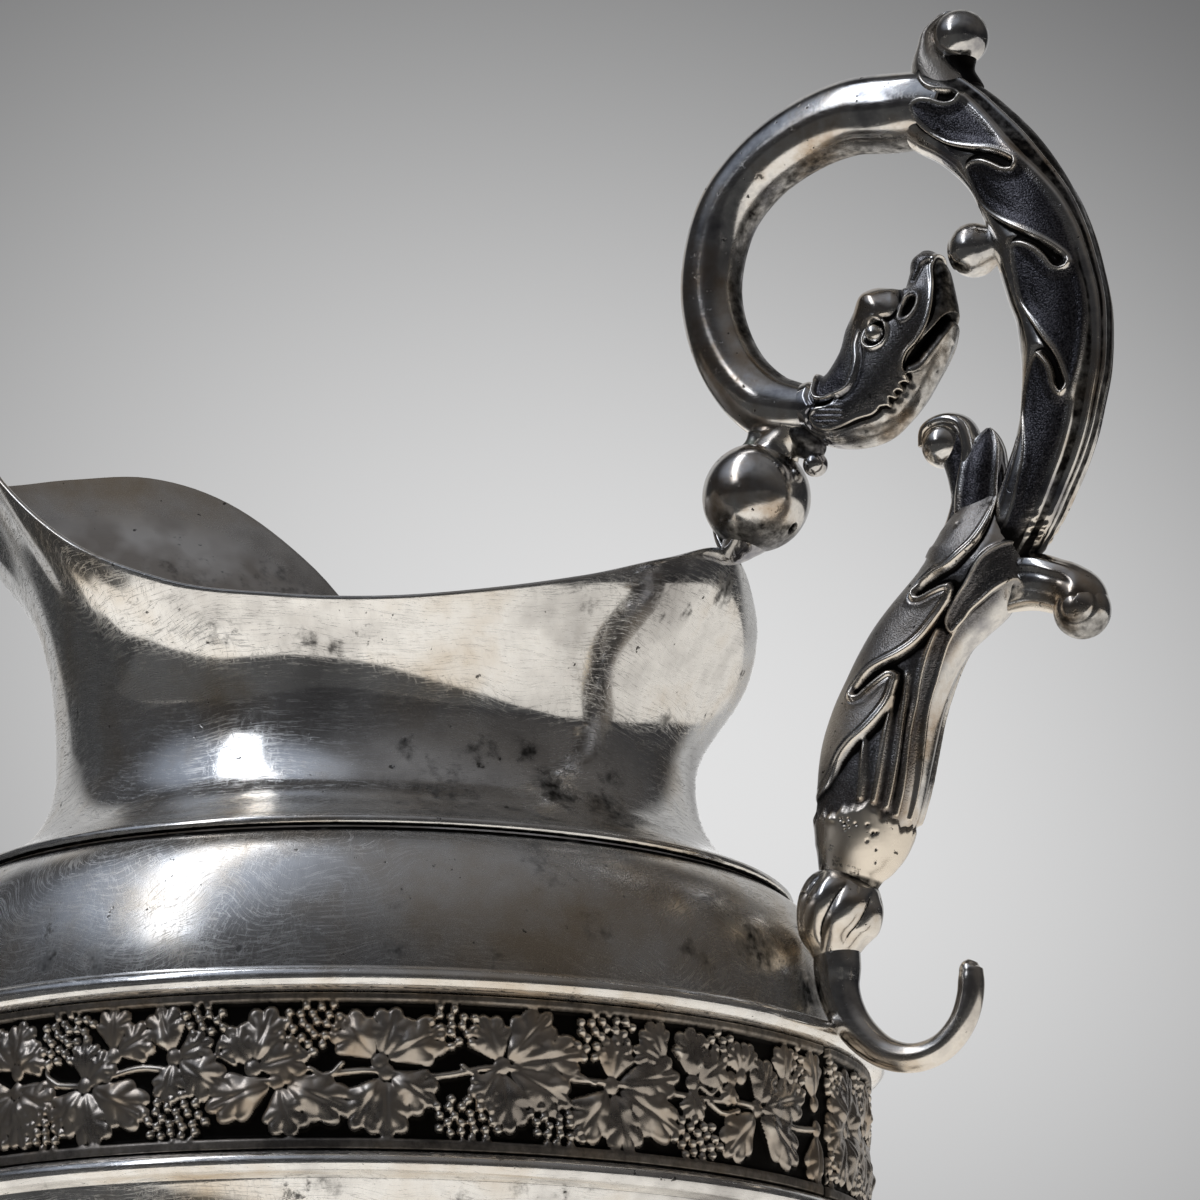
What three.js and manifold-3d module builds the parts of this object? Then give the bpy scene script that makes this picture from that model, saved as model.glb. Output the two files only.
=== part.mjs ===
// Milk jug in silver: raised bowl, shoulder and neck, a die-struck vine frieze between two beads,
// a spreading foot, and a cast handle made as a looped serpent rising out of two leaf-clad arms.
// Millimetres, +Z up, standing on Z = 0. The handle points to +X, the spout to -X.
import * as THREE from "three";
import { mergeVertices } from "three/addons/utils/BufferGeometryUtils.js";
import loadManifold from "manifold-3d";

const wasm = await loadManifold();
wasm.setup();

// Seams and sheet
const SOLDER_GAP = 0.3;
const SHEET = 0.8;

// Foot, from the table up
const FOOT_RIM_RADIUS = 33;
const FOOT_RIM_WIDTH = 5;
const FOOT_RIM_HEIGHT = 3;
const FOOT_INSET = 1.5;
const FOOT_COLLAR = 1;
const FOOT_HEIGHT = 17;
const STEM_RADIUS = 9.5;
const KNOP_PROUD = 3.5;
const KNOP_HEIGHT = 6;

// Bowl
const BOWL_RADIUS = 41;
const BOWL_DEPTH = 62;
const BAND_MARGIN = 0.5;

// Frieze and its two beads
const LOWER_BEAD_HEIGHT = 2.1;
const UPPER_BEAD_HEIGHT = 2.2;
const BEAD_PROUD = 1.9;
const FRIEZE_HEIGHT = 11.7;
const FRIEZE_THICKNESS = 0.9;
const FRIEZE_SEAM = 0.5;

// Shoulder and neck
const SHOULDER_RISE = 13;
const SHOULDER_INSET = 5.1;
const SHOULDER_TURN = 75;
const LEDGE_WIDTH = 3;
const NECK_STEP = 0.4;
const WAIST_INSET = 8.3;
const COVE_RISE = 10.3;
// Rim: degrees from the spout, overhang past the waist, rise over the waist, lean of the lip from upright
const RIM = [
  [0, 18.8, 31.9, 30],
  [15, 17, 33.1, 26],
  [30, 14.3, 35.5, 22],
  [45, 12.6, 31.9, 22],
  [60, 11.6, 22.1, 28],
  [75, 10.3, 13.8, 38],
  [90, 8.5, 9.4, 44],
  [120, 5.2, 7.9, 36],
  [150, 4.9, 11.1, 8],
  [180, 7.2, 16.6, 0],
];

// How far each curve keeps its starting direction, as a share of its own rise
const LIP_HOLD = 0.4;
const WAIST_HOLD = 0.15;
const COVE_FOOT_HOLD = 0.14;
const COVE_WAIST_HOLD = 0.55;
const COVE_SWEEP = 0.6;
const FOOT_SPREAD_HOLD = 0.5;
const FOOT_STEM_HOLD = 0.6;

// Ball that carries the handle on the rim
const RIM_BALL_DIAMETER = 9;
const RIM_BALL_WALL = 0.8;
const RIM_BALL_LEAN = 15;
const VENT_DIAMETER = 0.9;
const VENT_DROP = 38;
const PEG_DIAMETER = 3.4;
const PEG_BEAD_DIAMETER = 1.9;

// Handle rows give x and z from the top of the rim ball, then the half width.
const TUBE_ROOT_DIAMETER = 6.7;
const TUBE_TIP_DIAMETER = 4.6;
const LOOP = [[13.3, 27.4], [8.7, 27.6], [4.1, 26.3], [0.4, 24.1], [-2.4, 21], [-3.9, 16.7], [-4.1, 13.2],
  [-3.3, 9.6], [-1.6, 6.3], [0.9, 3.9], [4.1, 2.4]];
// Head: crown edge x and z, throat edge x and z, half depth
const HEAD = [
  [6.3, 5.1, 5, -0.8, 2.6],
  [7.3, 5.5, 7.7, -1.1, 2.8],
  [8.2, 7.3, 11.2, -1.1, 3.1],
  [8.7, 9.9, 14.7, 1.2, 3.3],
  [10.7, 12.2, 17, 4.6, 3],
  [13, 11.7, 18.2, 7.4, 2.3],
  [14.3, 13, 18.3, 10.1, 1.7],
  [15.1, 14.5, 17.7, 12.4, 1.2],
  [16.1, 14.8, 17, 14, 0.5],
];
const MOUTH = [[13.5, 4.9], [19.4, 10.2], [18.6, 12]];
const UPPER_ARM = [[18.6, 26.5, 3.3], [21.7, 23.3, 3.2], [24.4, 17.9, 3.6], [26.6, 12.2, 4.1], [28, 7.8, 4],
  [27.9, 2.3, 3.7], [27.2, -1.7, 3.35], [25.9, -5.4, 2.9], [24.4, -9, 2.5]];
const ARM_FLATNESS = 0.85;
const CREST_SCROLL = [[17.8, 27.4, 2.3], [16.9, 29.6, 2], [15.7, 31.9, 1.3], [16.4, 33.8, 0.9],
  [17.9, 35, 0.6]];
const CREST_BALL = [18.9, 33.2];
const CREST_BALL_DIAMETER = 4.7;
const INNER_BALL = [19.6, 14.5];
const INNER_BALL_DIAMETER = 3.5;
const INNER_STALK_DIAMETER = 1.8;
const INNER_BALL_ROW = 2;
const INNER_CURL = [[20.9, -10.7, 1.8], [19.6, -7.7, 1.7], [19, -5.2, 1.5], [18.8, -3, 1.3],
  [18, -1.4, 1.2]];
const INNER_LOBE = [[20.2, -8.2, 1.3], [20.8, -4.4, 1.25], [21.1, -2.2, 0.8], [21, -0.9, 0.3]];
const INNER_CURL_BALL = [17.2, -1.8];
const INNER_CURL_BALL_DIAMETER = 4.4;
const OUTER_CURL = [[21.9, -14.2, 2.6], [24.9, -14.6, 2.3], [27.2, -15, 2], [28.8, -15.8, 1.8]];
const OUTER_CURL_BALL = [29.2, -17.1];
const OUTER_CURL_BALL_DIAMETER = 4.7;
const LOWER_ARM_TOP = [[20, -14, 4], [16.2, -17.1, 4.1]];
const ARM_LEAD = 1.8;
const LOWER_ARM_MOUTH = 3.2;
const LOWER_ARM_FLATNESS = 0.8;

// Lower handle rows give x from the face of the upper bead, z from its middle, then the half width.
const LOWER_ARM_FOOT = [[4.4, 26.2, 4.7], [3.2, 20.1, 4.95], [2.5, 16.6, 4.55], [1.6, 13.9, 3.5],
  [1, 12.4, 2.6]];
const BUD_KNOP = [[0.5, 11.1, 3.2], [0.2, 9.6, 3.5], [-0.25, 7.9, 2.9], [-0.5, 6.9, 2.2]];
const TAIL_HOOK = [[-0.1, 3.6, 1.7], [0.8, 1.2, 1.55], [2.2, -0.6, 1.45], [4.1, -2, 1.3], [6.6, -2.55, 1.2],
  [9, -1.85, 1.15], [10.7, -0.1, 1.1], [11.5, 2.2, 1.05], [11.55, 4.6, 0.7]];
const TAIL_ROOT = 2.05;
const TAIL_LEAD = 1.5;

// Facets
const ROUND_SEGMENTS = 36;
const WALL_STEPS = 6;
const BAR_SIDES = 10;
const BALL_SEGMENTS = 12;
const LOOP_STEPS = 32;
const ARM_STEPS = 24;
const HOOK_STEPS = 24;
const CURL_STEPS = 10;
const STUB_STEPS = 3;

// Heights that follow from the sizes above
const footBase = FOOT_RIM_HEIGHT + SOLDER_GAP;
const footTop = footBase + FOOT_HEIGHT;
const knopBase = footTop + SOLDER_GAP;
const bowlBase = knopBase + KNOP_HEIGHT + SOLDER_GAP;
const bandBase = bowlBase + BOWL_DEPTH;
const lowerBeadBase = bandBase + BAND_MARGIN;
const friezeBase = lowerBeadBase + LOWER_BEAD_HEIGHT + SOLDER_GAP;
const upperBeadBase = friezeBase + FRIEZE_HEIGHT + SOLDER_GAP;
const beadMiddle = upperBeadBase + UPPER_BEAD_HEIGHT / 2;
const bowlTop = beadMiddle - SOLDER_GAP / 2;
const shoulderBase = beadMiddle + SOLDER_GAP / 2;
const shoulderTop = shoulderBase + SHOULDER_RISE;
const neckBase = shoulderTop + SOLDER_GAP;
const waistHeight = neckBase + SHEET + COVE_RISE;

// Radii that follow from the sizes above
const bandBack = BOWL_RADIUS + SOLDER_GAP;
const beadFace = bandBack + BEAD_PROUD;
const ledgeRadius = BOWL_RADIUS - SHOULDER_INSET;
const neckBaseRadius = ledgeRadius - NECK_STEP;
const waistRadius = neckBaseRadius - WAIST_INSET;

const silver = (color, roughness) => new THREE.MeshStandardMaterial({ color, roughness, metalness: 1 });
const polished = silver(0xc9c7c2, 0.16);
const satin = silver(0xa7a49d, 0.38);
const darkened = silver(0x7d7b79, 0.28);

const jug = new THREE.Group();

function add(name, geometry, material) {
  const mesh = new THREE.Mesh(geometry, material);
  mesh.name = name;
  jug.add(mesh);
}

// Keeps positions only, joins shared corners, drops empty triangles and turns the faces outwards.
function weld(geometry) {
  const bare = new THREE.BufferGeometry();
  bare.setAttribute("position", geometry.getAttribute("position"));
  bare.setIndex(geometry.getIndex());
  const merged = mergeVertices(bare, 1e-4);
  const corners = merged.getIndex().array;
  const point = (i) => new THREE.Vector3().fromBufferAttribute(merged.getAttribute("position"), i);
  const triangles = [];
  let volume = 0;
  for (let i = 0; i < corners.length; i += 3) {
    const [a, b, c] = corners.slice(i, i + 3);
    if (a === b || b === c || c === a) continue;
    triangles.push([a, b, c]);
    volume += point(a).dot(point(b).cross(point(c)));
  }
  const outward = volume < 0 ? triangles.map(([a, b, c]) => [a, c, b]) : triangles;
  merged.setIndex(outward.flat());
  merged.computeVertexNormals();
  return merged;
}

// Skin over rings of equal count: closed round on itself, or capped at both ends.
function skin(rings, closed = false) {
  const count = rings[0].length;
  const points = rings.flat();
  const index = [];
  const lastRing = closed ? rings.length : rings.length - 1;
  for (let i = 0; i < lastRing; i++) {
    const here = i * count;
    const next = ((i + 1) % rings.length) * count;
    for (let j = 0; j < count; j++) {
      const k = (j + 1) % count;
      index.push(here + j, here + k, next + k, here + j, next + k, next + j);
    }
  }
  if (!closed) {
    const ends = [[rings[0], 0, true], [rings.at(-1), points.length - count, false]];
    for (const [ring, start, turned] of ends) {
      const middle = ring.reduce((sum, p) => sum.add(p), new THREE.Vector3()).divideScalar(count);
      const centre = points.push(middle) - 1;
      for (let j = 0; j < count; j++) {
        const edge = [start + j, start + (j + 1) % count];
        index.push(centre, ...(turned ? edge.reverse() : edge));
      }
    }
  }
  const geometry = new THREE.BufferGeometry().setFromPoints(points);
  geometry.setIndex(index);
  return weld(geometry);
}

function solid(geometry) {
  const vertProperties = new Float32Array(geometry.getAttribute("position").array);
  const triVerts = new Uint32Array(geometry.getIndex().array);
  return new wasm.Manifold(new wasm.Mesh({ numProp: 3, vertProperties, triVerts }));
}

function geometryOf(body) {
  const { vertProperties, triVerts } = body.getMesh();
  const geometry = new THREE.BufferGeometry();
  geometry.setAttribute("position", new THREE.BufferAttribute(new Float32Array(vertProperties), 3));
  geometry.setIndex(Array.from(triVerts));
  return weld(geometry);
}

const join = (...geometries) => geometryOf(geometries.map(solid).reduce((a, b) => a.add(b)));

// Takes the cutters away and keeps the largest body that is left.
function cut(geometry, ...cutters) {
  const rest = cutters.map(solid).reduce((a, b) => a.subtract(b), solid(geometry));
  const bodies = rest.decompose().sort((a, b) => b.volume() - a.volume());
  return geometryOf(bodies[0]);
}

// Profiles hold radius and height, run from the bottom up and have the outside on their right.
function lathe(profile) {
  const geometry = new THREE.LatheGeometry(profile, ROUND_SEGMENTS);
  geometry.rotateX(Math.PI / 2);
  return weld(geometry);
}

const at = (radius, height) => new THREE.Vector2(radius, height);
const loop = (profile) => [...profile, profile[0]];

// Inner face of a sheet: the outer profile moved in by the sheet's thickness, square to its run.
function innerFace(profile) {
  return profile.map((p, i) => {
    const before = profile[Math.max(i - 1, 0)];
    const after = profile[Math.min(i + 1, profile.length - 1)];
    const along = after.clone().sub(before);
    const outward = at(along.y, -along.x).normalize();
    return p.clone().addScaledVector(outward, -SHEET);
  });
}

const sheet = (profile) => [...profile, ...innerFace(profile).reverse()];

function arc(centreRadius, centreHeight, halfWidth, halfHeight, from, to, steps) {
  const curve = new THREE.EllipseCurve(centreRadius, centreHeight, halfWidth, halfHeight,
    THREE.MathUtils.degToRad(from), THREE.MathUtils.degToRad(to), to < from);
  return curve.getPoints(steps);
}

// Foot: flat ring on the table, spread trumpet, turned knop
function footRim() {
  const inner = FOOT_RIM_RADIUS - FOOT_RIM_WIDTH;
  const half = FOOT_RIM_HEIGHT / 2;
  const edge = arc(FOOT_RIM_RADIUS - half, half, half, half, -90, 90, WALL_STEPS / 2);
  return lathe(loop([at(inner, 0), ...edge, at(inner, FOOT_RIM_HEIGHT)]));
}

function foot() {
  const base = FOOT_RIM_RADIUS - FOOT_INSET;
  const rise = new THREE.CubicBezierCurve(at(base, footBase + FOOT_COLLAR),
    at(base, footBase + FOOT_HEIGHT * FOOT_SPREAD_HOLD),
    at(STEM_RADIUS, footTop - FOOT_HEIGHT * FOOT_STEM_HOLD), at(STEM_RADIUS, footTop));
  return lathe(loop(sheet([at(base, footBase), ...rise.getPoints(WALL_STEPS), at(0, footTop)])));
}

function footKnop() {
  const half = KNOP_HEIGHT / 2;
  const swell = arc(STEM_RADIUS, knopBase + half, KNOP_PROUD, half, -90, 90, WALL_STEPS);
  return lathe([at(0, knopBase), ...swell, at(0, knopBase + KNOP_HEIGHT)]);
}

// Bowl: flat seat on the knop, ellipse up to the band, upright behind the frieze
function bowl() {
  const side = arc(STEM_RADIUS, bandBase, BOWL_RADIUS - STEM_RADIUS, BOWL_DEPTH, -90, 0, WALL_STEPS * 1.5);
  return lathe(sheet([at(0, bowlBase), ...side, at(BOWL_RADIUS, bowlTop)]));
}

function bead(base, height) {
  return lathe(loop(arc(bandBack, base + height / 2, BEAD_PROUD, height / 2, -90, 90, WALL_STEPS)));
}

// Frieze strip bent round the bowl, its two ends meeting at the seam under the handle
function friezeStrip() {
  const face = bandBack + FRIEZE_THICKNESS;
  const section = [at(bandBack, friezeBase), at(face, friezeBase), at(face, friezeBase + FRIEZE_HEIGHT),
    at(bandBack, friezeBase + FRIEZE_HEIGHT)];
  const half = FRIEZE_SEAM / 2 / face;
  const rings = [];
  for (let i = 0; i <= ROUND_SEGMENTS; i++) {
    const angle = half + (2 * Math.PI - 2 * half) * i / ROUND_SEGMENTS;
    rings.push(section.map((p) => around(p, angle)));
  }
  return skin(rings);
}

const around = (p, angle) => new THREE.Vector3(p.x * Math.cos(angle), p.x * Math.sin(angle), p.y);

// Shoulder: domed ring ending in a flat ledge for the neck; a clearance grows it where it is a cutter
function shoulderOutline(clearance) {
  const turn = THREE.MathUtils.degToRad(SHOULDER_TURN);
  const halfWidth = SHOULDER_INSET / (1 - Math.cos(turn));
  const halfHeight = SHOULDER_RISE / Math.sin(turn);
  return arc(BOWL_RADIUS - halfWidth, shoulderBase, halfWidth + clearance, halfHeight + clearance, 0,
    SHOULDER_TURN, WALL_STEPS);
}

function shoulder() {
  return lathe(loop(sheet([...shoulderOutline(0), at(ledgeRadius - LEDGE_WIDTH, shoulderTop)])));
}

// What the handle's foot has to stay clear of: frieze, upper bead and shoulder as one filled turning
function bandCutter() {
  const face = bandBack + FRIEZE_THICKNESS + SOLDER_GAP;
  const beadHalf = UPPER_BEAD_HEIGHT / 2 + SOLDER_GAP;
  const beadEdge = arc(bandBack, beadMiddle, BEAD_PROUD + SOLDER_GAP, beadHalf, -60, 60, WALL_STEPS);
  return lathe([at(0, friezeBase), at(face, friezeBase), at(face, beadEdge[0].y), ...beadEdge,
    ...shoulderOutline(SOLDER_GAP).filter((p) => p.y > beadEdge.at(-1).y), at(0, shoulderTop)]);
}

// Neck: cove up from the ledge to the waist, then a lip that leans out to the rim
const rimAngles = RIM.map((row) => row[0]);
const rimCurve = new THREE.CubicInterpolant(rimAngles, RIM.flatMap((row) => row.slice(1)), 3);
rimCurve.settings = { endingStart: THREE.ZeroSlopeEnding, endingEnd: THREE.ZeroSlopeEnding };

function rimAt(degreesFromSpout) {
  const [overhang, rise, leanDegrees] = rimCurve.evaluate(degreesFromSpout);
  const lean = THREE.MathUtils.degToRad(leanDegrees);
  return { point: at(waistRadius + overhang, waistHeight + rise), rise, lean };
}

function neckProfile(degreesFromSpout) {
  const top = neckBase + SHEET;
  const cove = new THREE.CubicBezierCurve(at(neckBaseRadius, top),
    at(neckBaseRadius - WAIST_INSET * COVE_SWEEP, top + COVE_RISE * COVE_FOOT_HOLD),
    at(waistRadius, waistHeight - COVE_RISE * COVE_WAIST_HOLD), at(waistRadius, waistHeight));
  const { point, rise, lean } = rimAt(degreesFromSpout);
  const hold = at(point.x - LIP_HOLD * rise * Math.tan(lean), point.y - LIP_HOLD * rise);
  const lip = new THREE.CubicBezierCurve(at(waistRadius, waistHeight),
    at(waistRadius, waistHeight + WAIST_HOLD * rise), hold, point);
  return [...cove.getPoints(WALL_STEPS / 2), ...lip.getPoints(WALL_STEPS).slice(1)];
}

function neck() {
  const rings = [];
  for (let i = 0; i < ROUND_SEGMENTS; i++) {
    const angle = 2 * Math.PI * i / ROUND_SEGMENTS;
    const fromSpout = Math.abs(180 - THREE.MathUtils.radToDeg(angle));
    rings.push(sheet(neckProfile(fromSpout)).map((p) => around(p, angle)));
  }
  return skin(rings, true);
}

// Handle bars lie in the plane Y = 0. A curve holds x, half width and z, so that all three run smoothly.
function barCurve(rows) {
  return new THREE.CatmullRomCurve3(rows.map(([x, z, half]) => new THREE.Vector3(x, half, z)));
}

function frameAt(curve, t) {
  const p = curve.getPoint(t);
  const along = curve.getTangent(t).setY(0).normalize();
  return { centre: new THREE.Vector3(p.x, 0, p.z), along, half: p.y };
}

const follow = ({ centre, along }, distance, half) =>
  [centre.x + along.x * distance, centre.z + along.z * distance, half];

function ellipseRing(centre, side, depth) {
  return Array.from({ length: BAR_SIDES }, (_, j) => {
    const turn = 2 * Math.PI * j / BAR_SIDES;
    const p = centre.clone().addScaledVector(side, Math.cos(turn));
    return p.setY(p.y + depth * Math.sin(turn));
  });
}

function bar(rows, steps, depthShare = 1, clearance = 0) {
  const curve = barCurve(rows);
  const rings = [];
  for (let i = 0; i <= steps; i++) {
    const { centre, along, half } = frameAt(curve, i / steps);
    if (i === 0) centre.addScaledVector(along, -clearance);
    if (i === steps) centre.addScaledVector(along, clearance);
    const side = new THREE.Vector3(along.z, 0, -along.x).multiplyScalar(half + clearance);
    rings.push(ellipseRing(centre, side, half * depthShare + clearance));
  }
  return skin(rings);
}

function ball([x, z], radius) {
  const geometry = new THREE.SphereGeometry(radius, BALL_SEGMENTS, BALL_SEGMENTS / 2);
  geometry.rotateX(Math.PI / 2);
  geometry.translate(x, 0, z);
  return weld(geometry);
}

// Rim ball: thin shell with a vent, standing on the highest point of the rim at the back
const rimBack = rimAt(180).point;
const ballRadius = RIM_BALL_DIAMETER / 2;
const ballLean = THREE.MathUtils.degToRad(RIM_BALL_LEAN);
const ballReach = ballRadius + SOLDER_GAP;
const ballCentre = [rimBack.x + ballReach * Math.sin(ballLean), rimBack.y + ballReach * Math.cos(ballLean)];
const ballTop = [ballCentre[0], ballCentre[1] + ballRadius];
const fromBall = ([x, z, ...rest]) => [ballTop[0] + x, ballTop[1] + z, ...rest];
const fromBead = ([x, z, ...rest]) => [beadFace + x, beadMiddle + z, ...rest];

function rimBall() {
  const inside = ballRadius - RIM_BALL_WALL;
  const ventOutside = THREE.MathUtils.radToDeg(Math.asin(VENT_DIAMETER / 2 / ballRadius));
  const ventInside = THREE.MathUtils.radToDeg(Math.asin(VENT_DIAMETER / 2 / inside));
  const outer = arc(0, 0, ballRadius, ballRadius, -90, 90 - ventOutside, WALL_STEPS);
  const inner = arc(0, 0, inside, inside, 90 - ventInside, -90, WALL_STEPS);
  const profile = [...outer, ...inner];
  profile[0].x = 0;
  profile.at(-1).x = 0;
  const geometry = new THREE.LatheGeometry(profile, BALL_SEGMENTS);
  geometry.rotateX(Math.PI / 2);
  geometry.rotateY(Math.PI / 2 + THREE.MathUtils.degToRad(VENT_DROP));
  geometry.translate(ballCentre[0], 0, ballCentre[1]);
  return weld(geometry);
}

// Serpent: tapering tube, head on its end
const loopRows = LOOP.map((row, i) => {
  const share = i / (LOOP.length - 1);
  const diameter = THREE.MathUtils.lerp(TUBE_ROOT_DIAMETER, TUBE_TIP_DIAMETER, Math.sqrt(share));
  return fromBall([...row, diameter / 2]);
});
const loopRoot = frameAt(barCurve(loopRows), 0);
const loopTip = frameAt(barCurve(loopRows), 1);
const serpentLoop = (clearance = 0) => bar(loopRows, LOOP_STEPS, 1, clearance);

function headSections(clearance) {
  const rows = HEAD.map(([crownX, crownZ, throatX, throatZ, depth]) => {
    const crown = fromBall([crownX, crownZ]);
    const throat = fromBall([throatX, throatZ]);
    const centre = new THREE.Vector3((crown[0] + throat[0]) / 2, 0, (crown[1] + throat[1]) / 2);
    const side = new THREE.Vector3((crown[0] - throat[0]) / 2, 0, (crown[1] - throat[1]) / 2);
    return { centre, side, depth };
  });
  const collar = {
    centre: loopTip.centre.clone().addScaledVector(loopTip.along, SOLDER_GAP),
    side: new THREE.Vector3(-loopTip.along.z, 0, loopTip.along.x).multiplyScalar(loopTip.half),
    depth: loopTip.half,
  };
  return [collar, ...rows].map(({ centre, side, depth }) =>
    ellipseRing(centre, side.clone().setLength(side.length() + clearance), depth + clearance));
}

function serpentHead() {
  const mouth = new THREE.Shape(MOUTH.map(fromBall).map(([x, z]) => at(x, z)));
  const width = 4 * Math.max(...HEAD.map((row) => row[4]));
  const wedge = new THREE.ExtrudeGeometry(mouth, { depth: width, bevelEnabled: false });
  wedge.rotateX(Math.PI / 2);
  wedge.translate(0, width / 2, 0);
  return cut(skin(headSections(0)), weld(wedge));
}

// Short peg from the ball up to the serpent's throat, and the small bead under the throat
function throatPeg() {
  const end = [loopTip.centre.x, loopTip.centre.z];
  const peg = bar([[...ballCentre, PEG_DIAMETER / 2], [...end, PEG_DIAMETER / 2]], STUB_STEPS);
  const ballSeat = ball(ballCentre, ballRadius + SOLDER_GAP);
  return cut(peg, ballSeat, serpentLoop(SOLDER_GAP), skin(headSections(SOLDER_GAP)));
}

function pegBead() {
  const [crownX, crownZ, throatX, throatZ] = HEAD[0];
  const out = at(throatX - crownX, throatZ - crownZ).setLength(PEG_BEAD_DIAMETER / 2);
  const middle = fromBall([throatX + out.x, throatZ + out.y]);
  return cut(ball(middle, PEG_BEAD_DIAMETER / 2), skin(headSections(SOLDER_GAP)), serpentLoop(SOLDER_GAP));
}

// Upper arm: leaf sheath round the tube's root, sweeping out and down
const upperArmRows = [
  follow(loopRoot, -SOLDER_GAP, TUBE_ROOT_DIAMETER / 2),
  follow(loopRoot, -ARM_LEAD, TUBE_ROOT_DIAMETER / 2),
  ...UPPER_ARM.map(fromBall),
];
const upperArm = (clearance = 0) => bar(upperArmRows, ARM_STEPS, ARM_FLATNESS, clearance);
const upperArmEnd = frameAt(barCurve(upperArmRows), 1);

// Lower arm: from the end of the upper arm down to the bud over the bead
const lowerArmRows = [
  follow(upperArmEnd, SOLDER_GAP, LOWER_ARM_MOUTH),
  follow(upperArmEnd, ARM_LEAD, LOWER_ARM_MOUTH),
  ...LOWER_ARM_TOP.map(fromBall),
  ...LOWER_ARM_FOOT.map(fromBead),
];
const lowerArm = (clearance = 0) => bar(lowerArmRows, ARM_STEPS, LOWER_ARM_FLATNESS, clearance);
const lowerArmEnd = frameAt(barCurve(lowerArmRows), 1);

const knopRows = [follow(lowerArmEnd, SOLDER_GAP, lowerArmEnd.half), ...BUD_KNOP.map(fromBead)];
const knopEnd = frameAt(barCurve(knopRows), 1);
const hookRows = [
  follow(knopEnd, SOLDER_GAP, TAIL_ROOT),
  follow(knopEnd, TAIL_LEAD, TAIL_ROOT),
  ...TAIL_HOOK.map(fromBead),
];

// Curls and balls that grow out of the arms, each fitted to the arm's surface
function crestScroll() {
  const crestBall = ball(fromBall(CREST_BALL), CREST_BALL_DIAMETER / 2 + SOLDER_GAP);
  return cut(bar(CREST_SCROLL.map(fromBall), CURL_STEPS), upperArm(SOLDER_GAP), crestBall);
}

function innerBall() {
  const centre = fromBall(INNER_BALL);
  const [rootX, rootZ] = fromBall(UPPER_ARM[INNER_BALL_ROW]);
  const half = INNER_STALK_DIAMETER / 2;
  const stalk = bar([[...centre, half], [rootX, rootZ, half]], STUB_STEPS);
  return cut(join(ball(centre, INNER_BALL_DIAMETER / 2), stalk), upperArm(SOLDER_GAP));
}

function innerCurl() {
  const tip = ball(fromBall(INNER_CURL_BALL), INNER_CURL_BALL_DIAMETER / 2);
  const stem = bar(INNER_CURL.map(fromBall), CURL_STEPS);
  const lobe = bar(INNER_LOBE.map(fromBall), CURL_STEPS);
  return cut(join(stem, lobe, tip), lowerArm(SOLDER_GAP), upperArm(SOLDER_GAP));
}

function outerCurl() {
  const tip = ball(fromBall(OUTER_CURL_BALL), OUTER_CURL_BALL_DIAMETER / 2);
  const stem = bar(OUTER_CURL.map(fromBall), CURL_STEPS);
  return cut(join(stem, tip), lowerArm(SOLDER_GAP), upperArm(SOLDER_GAP));
}

add("foot_rim", footRim(), polished);
add("foot", foot(), polished);
add("foot_knop", footKnop(), polished);
add("bowl", bowl(), polished);
add("lower_bead", bead(lowerBeadBase, LOWER_BEAD_HEIGHT), polished);
add("frieze_strip", friezeStrip(), satin);
add("upper_bead", bead(upperBeadBase, UPPER_BEAD_HEIGHT), polished);
add("shoulder", shoulder(), polished);
add("neck", neck(), polished);
add("rim_ball", rimBall(), polished);
add("throat_peg", throatPeg(), darkened);
add("peg_bead", pegBead(), darkened);
add("serpent_loop", serpentLoop(), darkened);
add("serpent_head", serpentHead(), darkened);
add("upper_leaf_arm", upperArm(), darkened);
add("crest_scroll", crestScroll(), darkened);
add("crest_ball", ball(fromBall(CREST_BALL), CREST_BALL_DIAMETER / 2), darkened);
add("inner_ball", innerBall(), darkened);
add("lower_leaf_arm", lowerArm(), darkened);
add("inner_curl", innerCurl(), darkened);
add("outer_curl", outerCurl(), darkened);
add("bud_knop", cut(bar(knopRows, CURL_STEPS), bandCutter()), darkened);
add("tail_hook", cut(bar(hookRows, HOOK_STEPS), bandCutter()), darkened);

// The origin is under the middle of the whole jug, handle included.
const reach = new THREE.Box3().setFromObject(jug);
jug.position.x = -(reach.min.x + reach.max.x) / 2;

export default jug;
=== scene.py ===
import math
import bpy
import numpy as np
from mathutils import Matrix, Quaternion, Vector


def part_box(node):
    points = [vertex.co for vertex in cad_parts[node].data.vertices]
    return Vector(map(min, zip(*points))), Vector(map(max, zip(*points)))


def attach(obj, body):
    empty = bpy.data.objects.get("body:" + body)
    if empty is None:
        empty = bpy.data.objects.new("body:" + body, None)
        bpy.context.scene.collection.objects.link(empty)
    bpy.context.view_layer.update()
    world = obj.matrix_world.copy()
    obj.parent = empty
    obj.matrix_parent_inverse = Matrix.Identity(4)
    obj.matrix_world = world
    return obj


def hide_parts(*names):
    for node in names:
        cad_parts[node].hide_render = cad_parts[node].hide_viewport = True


# Silver milk jug: raised body, die-struck vine band, cast serpent handle
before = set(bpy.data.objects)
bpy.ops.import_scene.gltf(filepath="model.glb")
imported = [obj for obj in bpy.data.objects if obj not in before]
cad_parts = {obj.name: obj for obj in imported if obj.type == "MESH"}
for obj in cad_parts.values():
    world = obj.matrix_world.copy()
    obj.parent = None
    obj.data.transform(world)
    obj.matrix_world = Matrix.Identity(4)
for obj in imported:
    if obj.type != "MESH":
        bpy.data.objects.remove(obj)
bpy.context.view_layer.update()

# All pieces are worked out in mm: x from the vessel's axis towards the handle, y across,
# z from the middle of the upper bead
bowlLow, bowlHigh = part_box("bowl")
beadLow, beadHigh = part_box("upper_bead")
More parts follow.
